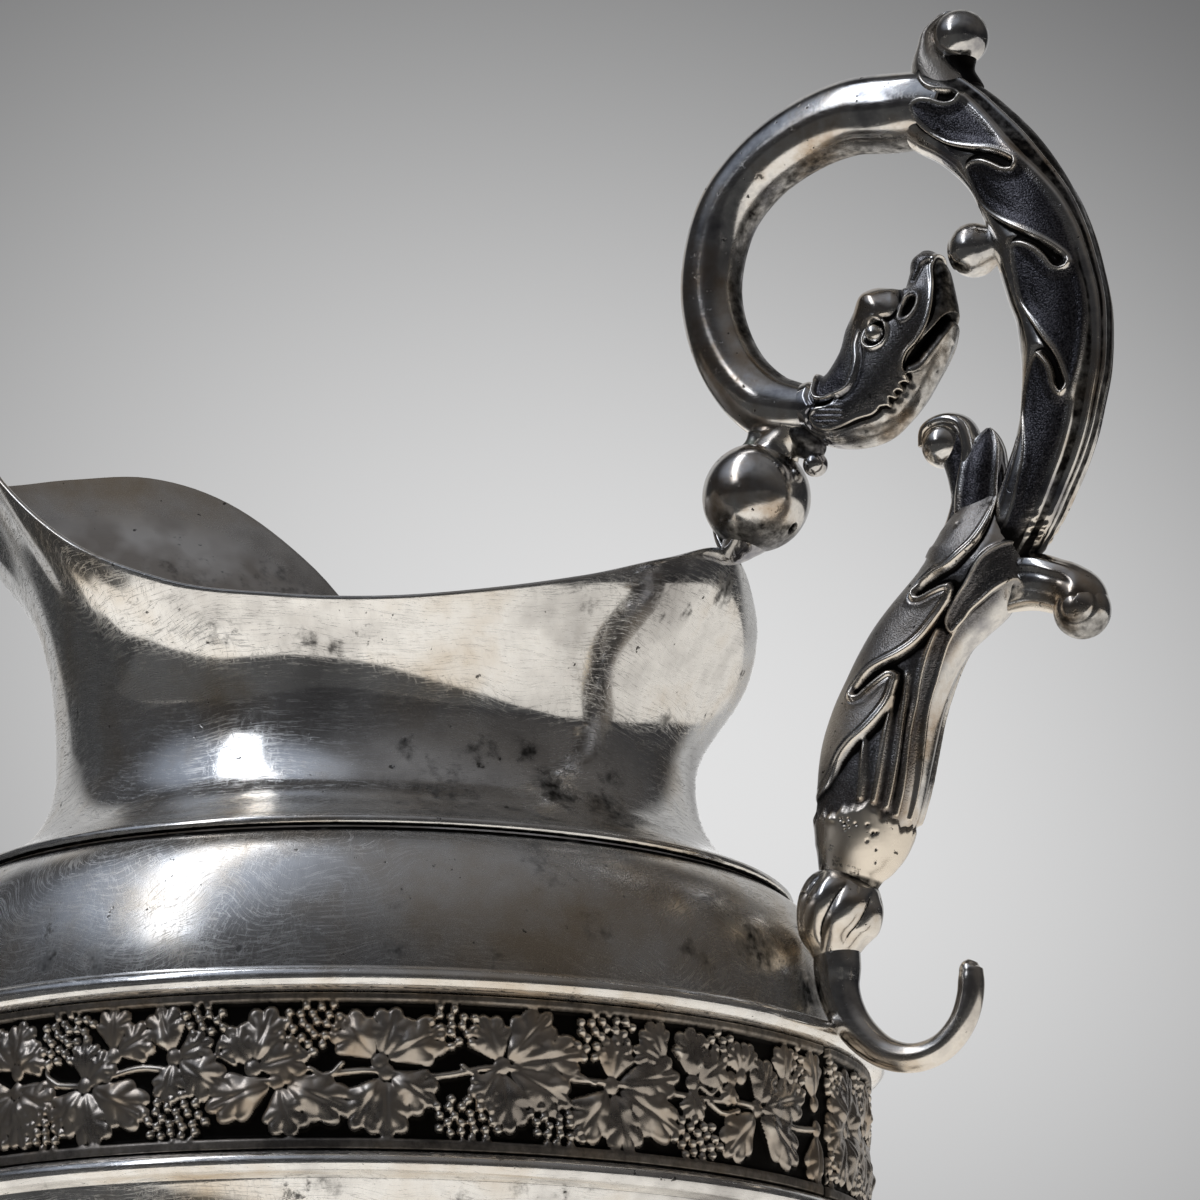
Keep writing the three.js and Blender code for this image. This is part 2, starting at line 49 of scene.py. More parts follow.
jugOrigin = np.array([(bowlLow.x + bowlHigh.x) / 2, 0.0, (beadLow.z + beadHigh.z) / 2])
tableLevel = -jugOrigin[2] * 1000


def linear(hexColour):  # sRGB hex to linear RGBA
    parts = [int(hexColour[i:i + 2], 16) / 255 for i in (1, 3, 5)]
    return tuple(c / 12.92 if c <= 0.04045 else ((c + 0.055) / 1.055) ** 2.4 for c in parts) + (1.0,)


def smoothStep(low, high, value):  # 0 below low, 1 above high, eased between
    t = np.clip((value - low) / (high - low), 0, 1)
    return t * t * (3 - 2 * t)


def through(knots, rows, at):
    # smooth curve through rows at the knots: cubic pieces whose slopes are the weighted means of the
    # neighbouring chords
    knots = np.asarray(knots, float)
    rows = np.asarray(rows, float)
    gap = np.diff(knots)[:, None]
    chord = np.diff(rows, axis=0) / gap
    between = (chord[:-1] * gap[1:] + chord[1:] * gap[:-1]) / (gap[1:] + gap[:-1])
    slope = np.concatenate([chord[:1], between, chord[-1:]])
    i = np.clip(np.searchsorted(knots, at, side="right") - 1, 0, len(knots) - 2)
    t = ((at - knots[i])[..., None]) / gap[i]
    return ((2 * t**3 - 3 * t**2 + 1) * rows[i] + (t**3 - 2 * t**2 + t) * gap[i] * slope[i]
            + (3 * t**2 - 2 * t**3) * rows[i + 1] + (t**3 - t**2) * gap[i] * slope[i + 1])


def along(rows, count):
    # the same curve walked at even steps of its length in the first two columns; gives the rows and the
    # length so far
    rows = np.asarray(rows, float)
    run = np.concatenate([[0], np.cumsum(np.hypot(*np.diff(rows[:, :2], axis=0).T))])
    fine = through(run, rows, np.linspace(0, run[-1], 3000))
    length = np.concatenate([[0], np.cumsum(np.hypot(*np.diff(fine[:, :2], axis=0).T))])
    even = np.linspace(0, length[-1], count)
    return np.stack([np.interp(even, length, column) for column in fine.T], 1), even


def gridFaces(rows, cols, rowsClosed, colsClosed):  # quads between neighbouring rows and columns
    i = np.arange(rows if rowsClosed else rows - 1)[:, None]
    j = np.arange(cols if colsClosed else cols - 1)[None, :]
    nextI = (i + 1) % rows
    nextJ = (j + 1) % cols
    corners = [i * cols + j, i * cols + nextJ, nextI * cols + nextJ, nextI * cols + j]
    return np.stack(corners, -1).reshape(-1, 4)


def fan(centre, ring):  # triangles from one point to a closed ring
    return np.stack([np.full(len(ring), centre), ring, np.roll(ring, -1)], 1)


# attributes: black in low places, which is tarnish and also painted shade; matted; rubbed bare, which is
# wear and also painted sheen; corroded
shadeNames = ("hollow", "matt", "worn", "green")  # black in low places, matted, rubbed bare, corroded


def skin(grid, rowsClosed=False, **shades):
    # closed skin over a grid of points: columns run round, rows run along and end in a fan on each side
    # unless closed; shades are numbers from 0 to 1 at each point. Faces are turned outwards by the sign
    # of the enclosed volume
    rows, cols, _ = grid.shape
    fields = {key: np.array(np.broadcast_to(shades.get(key, 0.0), (rows, cols)), float)
              for key in shadeNames}
    made = {key: field.reshape(-1) for key, field in fields.items()}
    points = grid.reshape(-1, 3)
    quads = gridFaces(rows, cols, rowsClosed, True)
    tris = np.zeros((0, 3), int)
    if not rowsClosed:
        points = np.concatenate([points, grid[:1].mean(1), grid[-1:].mean(1)])
        first = np.arange(cols)
        tris = np.concatenate([fan(len(points) - 2, first[::-1]),
                               fan(len(points) - 1, first + (rows - 1) * cols)])
        made = {key: np.concatenate([made[key], f[:1].mean(1), f[-1:].mean(1)])
                for key, f in fields.items()}
    corners = np.concatenate([quads[:, [0, 1, 2]], quads[:, [0, 2, 3]], tris])
    a, b, c = (points[corners[:, k]] for k in range(3))
    if np.einsum("ij,ij->i", a, np.cross(b, c)).sum() < 0:
        quads = quads[:, ::-1]
        tris = tris[:, ::-1]
    return {"points": points, "quads": quads, "tris": tris, **made}


def join(*skins):  # several skins as one mesh
    starts = np.cumsum([0] + [len(s["points"]) for s in skins])
    joined = {key: np.concatenate([s[key] for s in skins]) for key in ("points",) + shadeNames}
    for key in ("quads", "tris"):
        joined[key] = np.concatenate([s[key] + start for s, start in zip(skins, starts)])
    return joined


def putMesh(name, shape, material, slot, *nodes):
    # mesh from a skin in mm, riding on the jug in place of the CAD nodes
    points, quads, tris = shape["points"], shape["quads"], shape["tris"]
    mesh = bpy.data.meshes.new(name)
    mesh.vertices.add(len(points))
    mesh.vertices.foreach_set("co", (points / 1000 + jugOrigin).astype(np.float32).ravel())
    loops = np.concatenate([quads.ravel(), tris.ravel()]).astype(np.int32)
    mesh.loops.add(len(loops))
    mesh.loops.foreach_set("vertex_index", loops)
    starts = np.concatenate([np.arange(len(quads)) * 4, len(quads) * 4 + np.arange(len(tris)) * 3])
    mesh.polygons.add(len(starts))
    mesh.polygons.foreach_set("loop_start", starts.astype(np.int32))
    mesh.update(calc_edges=True)
    mesh.shade_smooth()
    for label in shadeNames:
        layer = mesh.attributes.new(label, "FLOAT", "POINT")
        layer.data.foreach_set("value", shape[label].astype(np.float32))
    mesh.materials.append(material)
    piece = bpy.data.objects.new(name, mesh)
    bpy.context.scene.collection.objects.link(piece)
    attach(piece, "root")
    if nodes:
        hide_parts(*nodes)
    return piece


def soften(field, passes):
    # blur: each pass keeps half of a cell and takes a quarter of each neighbour; the second direction
    # runs round
    for _ in range(passes):
        wide = np.concatenate([field[:1], field, field[-1:]])
        field = 0.25 * wide[:-2] + 0.5 * wide[1:-1] + 0.25 * wide[2:]
        field = 0.25 * np.roll(field, 1, 1) + 0.5 * field + 0.25 * np.roll(field, -1, 1)
    return field


def crevices(lift, passes, depth):  # 1 where a relief lies depth mm under its own blur
    return smoothStep(0.3 * depth, depth, soften(lift, passes) - lift)


def lineGap(u, v, rows, closed=False, fine=6):
    # distance in mm from every point (u, v) to a smooth line through rows; round a closed line it is
    # positive inside, which is where a ray to the right crosses the line an odd number of times
    line = along(rows, fine * len(rows))[0]
    best = np.full(u.shape, 1e9)
    odd = np.zeros(u.shape, bool)
    for (au, av), (bu, bv) in zip(line[:-1], line[1:]):
        du = bu - au
        dv = bv - av if bv != av else 1e-9
        t = np.clip(((u - au) * du + (v - av) * dv) / (du * du + dv * dv), 0, 1)
        best = np.minimum(best, (u - au - t * du) ** 2 + (v - av - t * dv) ** 2)
        odd ^= ((av > v) != (bv > v)) & (u < du * (v - av) / dv + au)
    best = np.sqrt(best)
    return np.where(odd, best, -best) if closed else best


def ridge(gap, width):  # rounded rise of height 1 along a line
    return np.exp(-((gap / width) ** 2))


# Materials
def add(tree, kind, links=None, stops=(), **settings):
    # one node with its settings; links maps an input's name or number to a socket or a plain value, and
    # stops are the places and hex colours of a colour ramp
    made = tree.nodes.new(kind)
    for key, value in settings.items():
        setattr(made, key, value)
    for key, value in (links or {}).items():
        if isinstance(value, bpy.types.NodeSocket):
            tree.links.new(value, made.inputs[key])
        else:
            made.inputs[key].default_value = value
    for number, (place, colour) in enumerate(stops):
        bar = made.color_ramp.elements
        stop = bar[number] if number < len(bar) else bar.new(1.0)
        stop.position = place
        stop.color = linear(colour)
    return made


perMm = 1000.0  # object coordinates are metres, so a scale of perMm / d gives a pattern d mm wide


def silverMaterial(name, look):
    # old silver: film, blotches, specks and the dirt of the hollows, which also carries painted shade,
    # are mixed in turn over the metal's colour, with a pale colour for rubbed places that also carries
    # painted sheen; roughness is a base plus a share for every scratch, matted field, rub and crust;
    # hairs, grain and pits are bumps laid one on the other
    material = bpy.data.materials.new(name)
    material.use_nodes = True
    tree = material.node_tree
    shader = tree.nodes["Principled BSDF"]
    place = add(tree, "ShaderNodeTexCoord").outputs["Object"]
    hollow, matt, worn, green = (add(tree, "ShaderNodeAttribute", attribute_name=key).outputs["Fac"]
                                 for key in shadeNames)

    shine = add(tree, "ShaderNodeMath", {0: matt, 1: -look["dull"], 2: look["metallic"]},
                operation="MULTIPLY_ADD").outputs[0]
    tree.links.new(shine, shader.inputs["Metallic"])  # the film over old silver scatters a little

    # tarnish: broad warm film, then blotches, then black specks and pits
    film, blotch, speck = (
        add(tree, "ShaderNodeTexNoise", {"Vector": place, "Scale": perMm / look[size], "Detail": detail,
                                         "Roughness": rough}).outputs["Fac"]
        for size, detail, rough in (("filmSize", 5.0, 0.62), ("blotchSize", 6.0, 0.7),
                                    ("speckSize", 3.0, 0.6)))
    filmStops = [(0.34, look["filmDark"]), (0.5, look["silver"]), (0.68, look["filmWarm"])]
    colour = add(tree, "ShaderNodeValToRGB", {"Fac": film}, filmStops).outputs["Color"]
    blotchMask, speckMask = (
        add(tree, "ShaderNodeMapRange", {0: noise, 1: look[start], 2: look[start] + edge},
            interpolation_type="SMOOTHSTEP").outputs[0]
        for noise, start, edge in ((blotch, "blotchFrom", 0.07), (speck, "speckFrom", 0.04)))
    gathered = add(tree, "ShaderNodeMath", {0: blotchMask, 1: speckMask}, operation="MAXIMUM").outputs[0]
    spots = add(tree, "ShaderNodeMath", {0: gathered, 1: look["spotDepth"]},
                operation="MULTIPLY").outputs[0]
    # dirt and painted shade in low places break up along their edges: the two noises move the level at
    # which they show
    ragged = hollow
    for noise, sway in ((blotch, look["raggedWide"]), (speck, look["raggedFine"])):
        ragged = add(tree, "ShaderNodeMath", {0: noise, 1: sway, 2: ragged},
                     operation="MULTIPLY_ADD").outputs[0]
    middle = (look["raggedWide"] + look["raggedFine"]) / 2
    hollowDirt = add(tree, "ShaderNodeMapRange", {0: ragged, 1: middle + 0.2, 2: middle + 0.8},
                     interpolation_type="SMOOTHSTEP").outputs[0]
    blackening = add(tree, "ShaderNodeMath", {0: hollowDirt, 1: spots}, operation="MAXIMUM",
               use_clamp=True).outputs[0]
    grain = add(tree, "ShaderNodeTexNoise", {"Vector": place, "Scale": perMm / look["grainSize"],
                                             "Detail": 2.0}).outputs["Fac"]
    mattStops = [(0.40, look["mattDark"]), (0.62, look["mattColour"])]
    punched = add(tree, "ShaderNodeValToRGB", {"Fac": grain}, mattStops).outputs["Color"]
    # over the film in turn: matted grain, the pale colour of wear that also serves as painted sheen, the
    # black of oxide that also serves as painted shade, and green crust
    for share, tint in ((matt, punched), (worn, linear(look["wornColour"])),
                        (blackening, linear(look["oxideAndShade"])), (green, linear(look["verdigris"]))):
        colour = add(tree, "ShaderNodeMix", {"Factor": share, 6: colour, 7: tint},
                     data_type="RGBA").outputs[2]
    tree.links.new(colour, shader.inputs["Base Color"])

    # scratches: hair lines where a drawn-out noise crosses its middle value, one set round the jug and
    # one slanting, both bent by a slow noise as a wiping hand bends them
    swirl = add(tree, "ShaderNodeTexNoise", {"Vector": place, "Scale": perMm / 12,
                                             "Detail": 1.0}).outputs["Color"]
    swirl = add(tree, "ShaderNodeVectorMath", {0: swirl, 1: (0.5, 0.5, 0.5)},
                operation="SUBTRACT").outputs[0]
    swirl = add(tree, "ShaderNodeVectorMath", {0: swirl, "Scale": look["swirl"] / perMm},
                operation="SCALE").outputs[0]
    wiped = add(tree, "ShaderNodeVectorMath", {0: place, 1: swirl}, operation="ADD").outputs[0]
    hairs = []
    for slant, stretch in ((0.0, look["hairStretch"]), (0.9, look["crossStretch"])):
        drawn = add(tree, "ShaderNodeMapping", {"Vector": wiped, "Rotation": (slant, slant, 0.0),
                                                "Scale": stretch}).outputs["Vector"]
        wave = add(tree, "ShaderNodeTexNoise", {"Vector": drawn, "Scale": perMm / look["hairSize"],
                                                "Detail": 3.0, "Roughness": 0.6}).outputs["Fac"]
        off = add(tree, "ShaderNodeMath", {0: wave, 1: 0.5}, operation="SUBTRACT").outputs[0]
        off = add(tree, "ShaderNodeMath", {0: off}, operation="ABSOLUTE").outputs[0]
        hairs.append(add(tree, "ShaderNodeMapRange",
                         {0: off, 1: 0.0, 2: look["hairWide"], 3: 1.0, 4: 0.0}).outputs[0])
    fainter = add(tree, "ShaderNodeMath", {0: hairs[1], 1: 0.5}, operation="MULTIPLY").outputs[0]
    hair = add(tree, "ShaderNodeMath", {0: hairs[0], 1: fainter}, operation="MAXIMUM").outputs[0]
    rough = add(tree, "ShaderNodeMapRange",
                {0: film, 1: 0.3, 2: 0.7, 3: look["roughLow"], 4: look["roughHigh"]}).outputs[0]
    for share, extra in ((hair, look["hairRough"]), (matt, look["mattRough"]), (worn, 0.14),
                         (blackening, 0.35), (green, 0.5)):
        rough = add(tree, "ShaderNodeMath", {0: share, 1: extra, 2: rough}, operation="MULTIPLY_ADD",
                    use_clamp=True).outputs[0]
    tree.links.new(rough, shader.inputs["Roughness"])
    hairBump = add(tree, "ShaderNodeBump", {"Height": hair, "Strength": look["hairBump"],
                                            "Distance": 0.00004}, invert=True).outputs["Normal"]
    grainHeight = add(tree, "ShaderNodeMath", {0: grain, 1: matt}, operation="MULTIPLY").outputs[0]
    grainBump = add(tree, "ShaderNodeBump", {"Height": grainHeight, "Strength": look["mattBump"],
                                             "Distance": 0.00012, "Normal": hairBump}).outputs["Normal"]
    pitBump = add(tree, "ShaderNodeBump", {"Height": spots, "Strength": 0.3, "Distance": 0.00006,
                                           "Normal": grainBump}, invert=True).outputs["Normal"]
    tree.links.new(pitBump, shader.inputs["Normal"])
    return material


# raised and planished silver, rubbed bright for years: mirror with hair scratches, brownish film, black
# pin spots
rubbedLook = {
    "silver": "#f6f4f0", "filmDark": "#b9b6b3", "filmWarm": "#d8c9b4", "mattColour": "#efeae3",
    "mattDark": "#bab1a7", "wornColour": "#efe6d8", "oxideAndShade": "#17130e", "verdigris": "#4f5a41",
    "filmSize": 20, "blotchSize": 8, "blotchFrom": 0.635, "speckSize": 1.1, "speckFrom": 0.69,
    "spotDepth": 0.8, "raggedWide": 0.8, "raggedFine": 1.1, "metallic": 0.90, "dull": 0.65,
    "roughLow": 0.07, "roughHigh": 0.13, "hairRough": 0.34, "hairSize": 0.30, "hairWide": 0.026,
    "hairStretch": (0.05, 0.05, 1.0), "crossStretch": (0.5, 0.07, 0.12), "hairBump": 0.02,
    "grainSize": 5.0, "mattRough": 0.35, "mattBump": 0.02, "swirl": 4.0}
rubbedSilver = silverMaterial("rubbed_sheet_silver", rubbedLook)
# the same on the shoulder, where the polishing cloth turned round and round: highlights spread into a
# soft glow
wipedSilver = silverMaterial("swirl_wiped_silver", {
    **rubbedLook, "roughLow": 0.15, "roughHigh": 0.24, "hairRough": 0.26, "swirl": 12.0})
# die-struck strip: satin relief, ground blackened with liver of sulphur
struckSilver = silverMaterial("die_struck_silver", {
    "silver": "#c0b6aa", "filmDark": "#8d867f", "filmWarm": "#b7a692", "mattColour": "#d2cbc1",
    "mattDark": "#a59f97", "wornColour": "#f4ecdf", "oxideAndShade": "#13100d", "verdigris": "#4f5a41",
    "filmSize": 7, "blotchSize": 4, "blotchFrom": 0.70, "speckSize": 0.6, "speckFrom": 0.73,
    "spotDepth": 0.7, "raggedWide": 0.5, "raggedFine": 0.3, "metallic": 0.90, "dull": 0.0,
    "roughLow": 0.22, "roughHigh": 0.36, "hairRough": 0.05, "hairSize": 0.8, "hairWide": 0.03,
    "hairStretch": (0.3, 0.3, 1.0), "crossStretch": (1.0, 0.2, 0.2), "hairBump": 0.05, "grainSize": 0.2,
    "mattRough": 0.10, "mattBump": 0.2, "swirl": 2.0})
# cast and chased silver: blue-black polish on the rounds, matted leaf fields, black in the chasing,
# painted shade where parts meet, bare metal where it rubs and painted sheen on raised edges
castSilver = silverMaterial("cast_chased_silver", {
    "silver": "#e2dfda", "filmDark": "#85858b", "filmWarm": "#bba892", "mattColour": "#6c6a6e",
    "mattDark": "#353438", "wornColour": "#efe5d6", "oxideAndShade": "#1b1918", "verdigris": "#4f5a41",
    "filmSize": 7, "blotchSize": 3.5, "blotchFrom": 0.63, "speckSize": 0.8, "speckFrom": 0.67,
    "spotDepth": 0.85, "raggedWide": 0.6, "raggedFine": 0.6, "metallic": 1.0, "dull": 0.0,
    "roughLow": 0.09, "roughHigh": 0.17, "hairRough": 0.07, "hairSize": 0.4, "hairWide": 0.05,
    "hairStretch": (0.15, 0.15, 1.0), "crossStretch": (1.0, 0.12, 0.12), "hairBump": 0.03,
    "grainSize": 0.14, "mattRough": 0.16, "mattBump": 0.5, "swirl": 3.0})
print("materials: four silvers")


# Vessel
segments = 240  # points round the vessel
shownSide = -61.3  # degrees from the handle to the side that the photograph shows
turn = np.linspace(0, 2 * np.pi, segments, endpoint=False)


def handRaised(x, y, z, depth):
    # slow waves left by the hammer: three crossing sine sheets, 8 to 16 mm from crest to crest
    return depth * (np.sin(x / 3.1 + z / 4.7 + 0.4) + np.sin(y / 3.7 - z / 2.9 + 1.9)
                    + 0.7 * np.sin(x / 1.9 - y / 2.3 + z / 3.3 + 4.0)) / 2.7


def sheetOf(outer, thickness):
    # outer profile followed by its inner face, which is the profile moved square to its run by the
    # sheet's thickness
    run = np.gradient(outer, axis=0)
    inward = np.stack([-run[:, 1], run[:, 0]], 1) / np.hypot(*run.T)[:, None]
    return np.concatenate([outer, (outer + inward * thickness)[::-1]])


def densify(profile, step):  # straight runs of a profile cut into steps
    parts = []
    for a, b in zip(profile[:-1], profile[1:]):
        count = max(1, int(math.ceil(math.dist(a, b) / step)))
        share = np.linspace(0, 1, count, endpoint=False)[:, None]
        parts.append(np.asarray(a) + (np.asarray(b) - a) * share)
    return np.concatenate(parts + [np.asarray(profile[-1:], float)])


def turned(profile, depth=0.0):
    # profile of radius and height carried round the vessel's axis, with the hammer's waves added to the
    # radius
    r = profile[:, :1]
    z = np.broadcast_to(profile[:, 1:], (len(profile), segments))
    x = r * np.cos(turn)
    y = r * np.sin(turn)
    swell = 1 + handRaised(x, y, z, depth) / np.maximum(r, 8)
    return np.stack([x * swell, y * swell, z], 2)


def arc(centreR, centreZ, halfR, halfZ, first, last, count):
    # part of an ellipse, degrees from the outside upwards
    a = np.radians(np.linspace(first, last, count))
    return np.stack([centreR + halfR * np.cos(a), centreZ + halfZ * np.sin(a)], 1)


def darkSpots(grid, rows):
    # dark spots as bells, most of them tarnish stains: degrees round from the side given by shownSide,
    # height, size in mm and strength
    angle = np.arctan2(grid[..., 1], grid[..., 0])
    field = np.zeros(grid.shape[:2])
    for side, high, size, strength in rows:
        turnedBy = np.angle(np.exp(1j * (angle - math.radians(side + shownSide))))
        off = np.hypot(grid[..., 0], grid[..., 1]) * turnedBy
        field = np.maximum(field, strength * ridge(np.hypot(off, grid[..., 2] - high), size))
    return field


def turnedPiece(node, profile, hammer=0.0, material=rubbedSilver, closed=True, hollow=0.0, spots=()):
    # profile carried round the axis as one sheet; its dirt is the greater of the profile's own and the
    # spots'
    grid = turned(profile, hammer)
    blackening = np.maximum(np.reshape(hollow, (-1, 1)), darkSpots(grid, spots))
    return putMesh(node + "_sheet", skin(grid, closed, hollow=blackening), material, "polished_silver", node)


# neck: cove runs from the foot step to the waist; lip is degrees from the spout, radius, height and
# lean of the edge from upright; hold is degrees from the spout and how long the waist holds before the
# flare
neckForm = {
    "sheet": 0.85, "hammer": 0.10, "stepRadius": 35.55, "stepHeight": 13.6, "stepRound": 0.45,
    "thinned": 0.42, "edge": 0.58, "lipPull": 0.32,
    "cove": [(35.2, 14.45), (30.3, 15.9), (27.2, 18.9), (27.2, 24.6)],
    "lip": [
        [-20, 44.2, 58.4, 27], [-10, 45.5, 57.2, 29], [0, 46.0, 56.6, 30], [10, 45.2, 57.2, 28],
        [20, 43.4, 59.1, 24.5], [30, 41.5, 60.2, 22], [41, 40.2, 58.4, 22], [52, 39.3, 52.9, 25],
        [63, 38.0, 44.3, 34], [73, 36.4, 38.7, 38], [87, 33.3, 34.6, 40], [103, 31.1, 33.2, 38],
        [120, 30.7, 33.0, 34], [135, 31.7, 33.9, 24], [150, 32.5, 35.9, 6], [165, 32.9, 38.8, -4],
        [180, 33.3, 41.3, -6], [195, 32.9, 38.8, -4]],
    "hold": [(0, 0.53), (95, 0.53), (110, 0.50), (125, 0.43), (141, 0.37), (160, 0.36), (180, 0.36)],
    # one dark spot near the waist on the handle's side is a painted reflection of the lower arm; the
    # others are tarnish stains
    "darkSpots": [
        (-50, 32.9, 1.5, 0.5), (-26, 31.6, 1.8, 0.36), (-12, 30.2, 1.2, 0.5), (-7, 29.7, 0.8, 0.6),
        (32, 34.3, 1.5, 0.5), (48, 34.1, 0.9, 0.6), (53, 35.3, 1.0, 0.55), (61, 38.0, 1.9, 0.6),
        (27, 22.1, 1.6, 0.5), (18, 21.9, 1.8, 0.5), (5, 21.5, 1.2, 0.5), (31, 18.9, 2.6, 0.6),
        (44, 21.0, 2.0, 0.5), (40, 17.4, 3.2, 0.5), (60, 27.0, 1.2, 0.5), (-69, 34.1, 1.2, 0.4),
        (10, 17.5, 4.0, 0.36), (-169, 50.0, 6.0, 0.36), (-150, 47.0, 5.0, 0.36), (-178, 40.0, 6.0, 0.3),
        (120, 30.0, 3.0, 0.42), (170, 22.0, 4.0, 0.4)]}
fromSpout = np.degrees(np.abs(np.angle(-np.exp(1j * turn))))
lipRows = np.array(neckForm["lip"])
lipRadius, lipHeight, lipLean = through(lipRows[:, 0], lipRows[:, 1:], fromSpout).T
waistHold = np.interp(fromSpout, *np.transpose(neckForm["hold"]))
waistRadius, waistHeight = neckForm["cove"][-1]


def bezier(a, b, c, d, t):  # cubic curve with its two pulls
    return a * (1 - t)**3 + 3 * b * t * (1 - t)**2 + 3 * c * t**2 * (1 - t) + d * t**3


def neckGrid():
    # at every angle: a foot step, a cove up to the waist, then a lip that leans out to the rim and a
    # rounded edge; both faces lie half a sheet from the middle, which thins towards the rim
    small = neckForm["stepRound"]
    step = arc(neckForm["stepRadius"] - small, neckForm["stepHeight"] + 0.35, small, small, -80, 70, 9)
    cove = bezier(*np.array(neckForm["cove"]), np.linspace(0, 1, 40)[1:, None])
    rise = lipHeight - waistHeight
    pull = neckForm["lipPull"] * rise
    t = np.linspace(0, 1, 72)[1:, None]
    lipR = bezier(waistRadius, waistRadius, lipRadius - pull * np.tan(np.radians(lipLean)), lipRadius, t)
    lipZ = bezier(waistHeight, waistHeight + waistHold * rise, lipHeight - pull, lipHeight, t)
    low = np.concatenate([step, cove])
    r = np.concatenate([np.broadcast_to(low[:, :1], (len(low), segments)), lipR])
    z = np.concatenate([np.broadcast_to(low[:, 1:], (len(low), segments)), lipZ])
    dr = np.gradient(r, axis=0)
    dz = np.gradient(z, axis=0)
    size = np.hypot(dr, dz)
    outR = dz / size
    outZ = -dr / size
    x = r * np.cos(turn)
    y = r * np.sin(turn)
    wave = handRaised(x, y, z, neckForm["hammer"]) * smoothStep(0, 14, np.arange(len(r)))[:, None]
    r = r + outR * wave
    z = z + outZ * wave
    half = neckForm["sheet"] / 2
    middleR = r - outR * half
    middleZ = z - outZ * half
    fromRim = np.arange(len(r)) - len(r) + 1
    faceAt = (1 - neckForm["thinned"] * ridge(fromRim, 14.0))[:, None]  # hammered thin towards the edge
    a = np.radians(np.linspace(60, -60, 5))[:, None]
    edgeR = middleR[-1] + half * neckForm["edge"] * (outR[-1] * np.sin(a) + outZ[-1] * -np.cos(a))
    edgeZ = middleZ[-1] + half * neckForm["edge"] * (outZ[-1] * np.sin(a) + outR[-1] * np.cos(a))
    allR = np.concatenate([middleR + outR * half * faceAt, edgeR, (middleR - outR * half * faceAt)[::-1]])
    allZ = np.concatenate([middleZ + outZ * half * faceAt, edgeZ, (middleZ - outZ * half * faceAt)[::-1]])
    return np.stack([allR * np.cos(turn), allR * np.sin(turn), allZ], 2)


neck = neckGrid()
neckDirtAndReflection = darkSpots(neck, neckForm["darkSpots"])
neckDirtAndReflection[:3] = 0.9  # dirt along the joint with the shoulder
neckInside = smoothStep(0.52, 0.58, np.linspace(0, 1, len(neck)))[:, None]  # dull where no one polishes
neckSkin = skin(neck, True, hollow=neckDirtAndReflection, matt=neckInside)
putMesh("neck_sheet", neckSkin, rubbedSilver, "polished_silver", "neck")

# shoulder: quarter-round dome from the bead up to a flat ledge under the neck
shoulder = {
    "middle": (33.9, 0.1), "half": (7.1, 13.4), "ledge": [(35.3, 13.35), (33.0, 13.4)], "sheet": 0.8,
    "hammer": 0.08,
    "darkSpots": [
        (-39, 2.9, 1.4, 0.55), (-32, 2.3, 1.6, 0.55), (-19, 1.9, 1.2, 0.5), (2, 2.4, 1.1, 0.6),
        (-5, 2.7, 0.9, 0.5), (13, 2.0, 1.2, 0.62), (38, 4.6, 1.0, 0.58), (40, 3.6, 1.0, 0.5),
        (26, 5.1, 2.4, 0.34), (50, 5.7, 3.0, 0.45), (2, 6.5, 1.2, 0.45), (20, 10.5, 3.2, 0.36),
        (60, 3.0, 3.0, 0.55), (140, 5.0, 3.0, 0.42), (-120, 4.0, 3.0, 0.42), (-160, 9.0, 3.0, 0.38)]}
shoulderRound = arc(*shoulder["middle"], *shoulder["half"], 0, 76, 40)
shoulderOuter = np.concatenate([shoulderRound, densify(shoulder["ledge"], 0.5)])
shoulderProfile = sheetOf(shoulderOuter, shoulder["sheet"])
shoulderDirt = np.zeros(len(shoulderProfile))
shoulderDirt[:2] = 0.8  # along the bead
shoulderDirt[38:42] = 0.85  # along the neck
turnedPiece("shoulder", shoulderProfile, shoulder["hammer"], wipedSilver, hollow=shoulderDirt,
            spots=shoulder["darkSpots"])

# bowl: flat seat, ellipse, a slight set-in under the bead, upright behind the strip
bowl = {
    "seat": [(0.6, -78.0), (9.0, -78.0)], "middle": (9.5, -16.0), "half": (31.5, 62.0),
    "setIn": [(39.75, -26.5), (39.6, -22.0), (39.85, -18.8), (40.7, -16.0), (41.0, -15.3)],
    "wall": [(41.0, -15.0), (41.0, -0.15)], "sheet": 0.8, "hammer": 0.10,
    "darkSpots": [
        (-4, -16.0, 0.9, 0.6), (-26, -16.6, 1.0, 0.5), (16, -15.8, 0.9, 0.6), (10, -16.8, 1.2, 0.45),
        (-60, -22, 3.0, 0.4), (50, -24, 3.0, 0.4), (120, -40, 4.0, 0.36), (-140, -30, 3.5, 0.38),
        (160, -22, 2.5, 0.42), (22, -20, 8.0, 0.28), (52, -20, 9.0, 0.34)]}
bowlSide = arc(*bowl["middle"], *bowl["half"], -90, -15, 60)
setIn = along([bowlSide[-1]] + bowl["setIn"], 40)[0][1:]
bowlOuter = np.concatenate([densify(bowl["seat"], 1.0), bowlSide, setIn, densify(bowl["wall"], 1.0)])
turnedPiece("bowl", sheetOf(bowlOuter, bowl["sheet"]), bowl["hammer"], closed=False, spots=bowl["darkSpots"])

# beads: half-round wires over and under the vine band, each with its middle height and half height
bead = {
    "radius": 41.3, "rise": 1.9, "hammer": 0.03, "upper_bead": (0.0, 1.1), "lower_bead": (-14.45, 1.05)}
for node in ("upper_bead", "lower_bead"):
    middle, half = bead[node]
    beadDirt = np.where(np.abs(np.linspace(-1, 1, 25)) > 0.93, 0.9, 0.0)  # at both of its edges
    beadRound = arc(bead["radius"], middle, bead["rise"], half, -90, 90, 25)
    turnedPiece(node, beadRound, bead["hammer"], hollow=beadDirt)

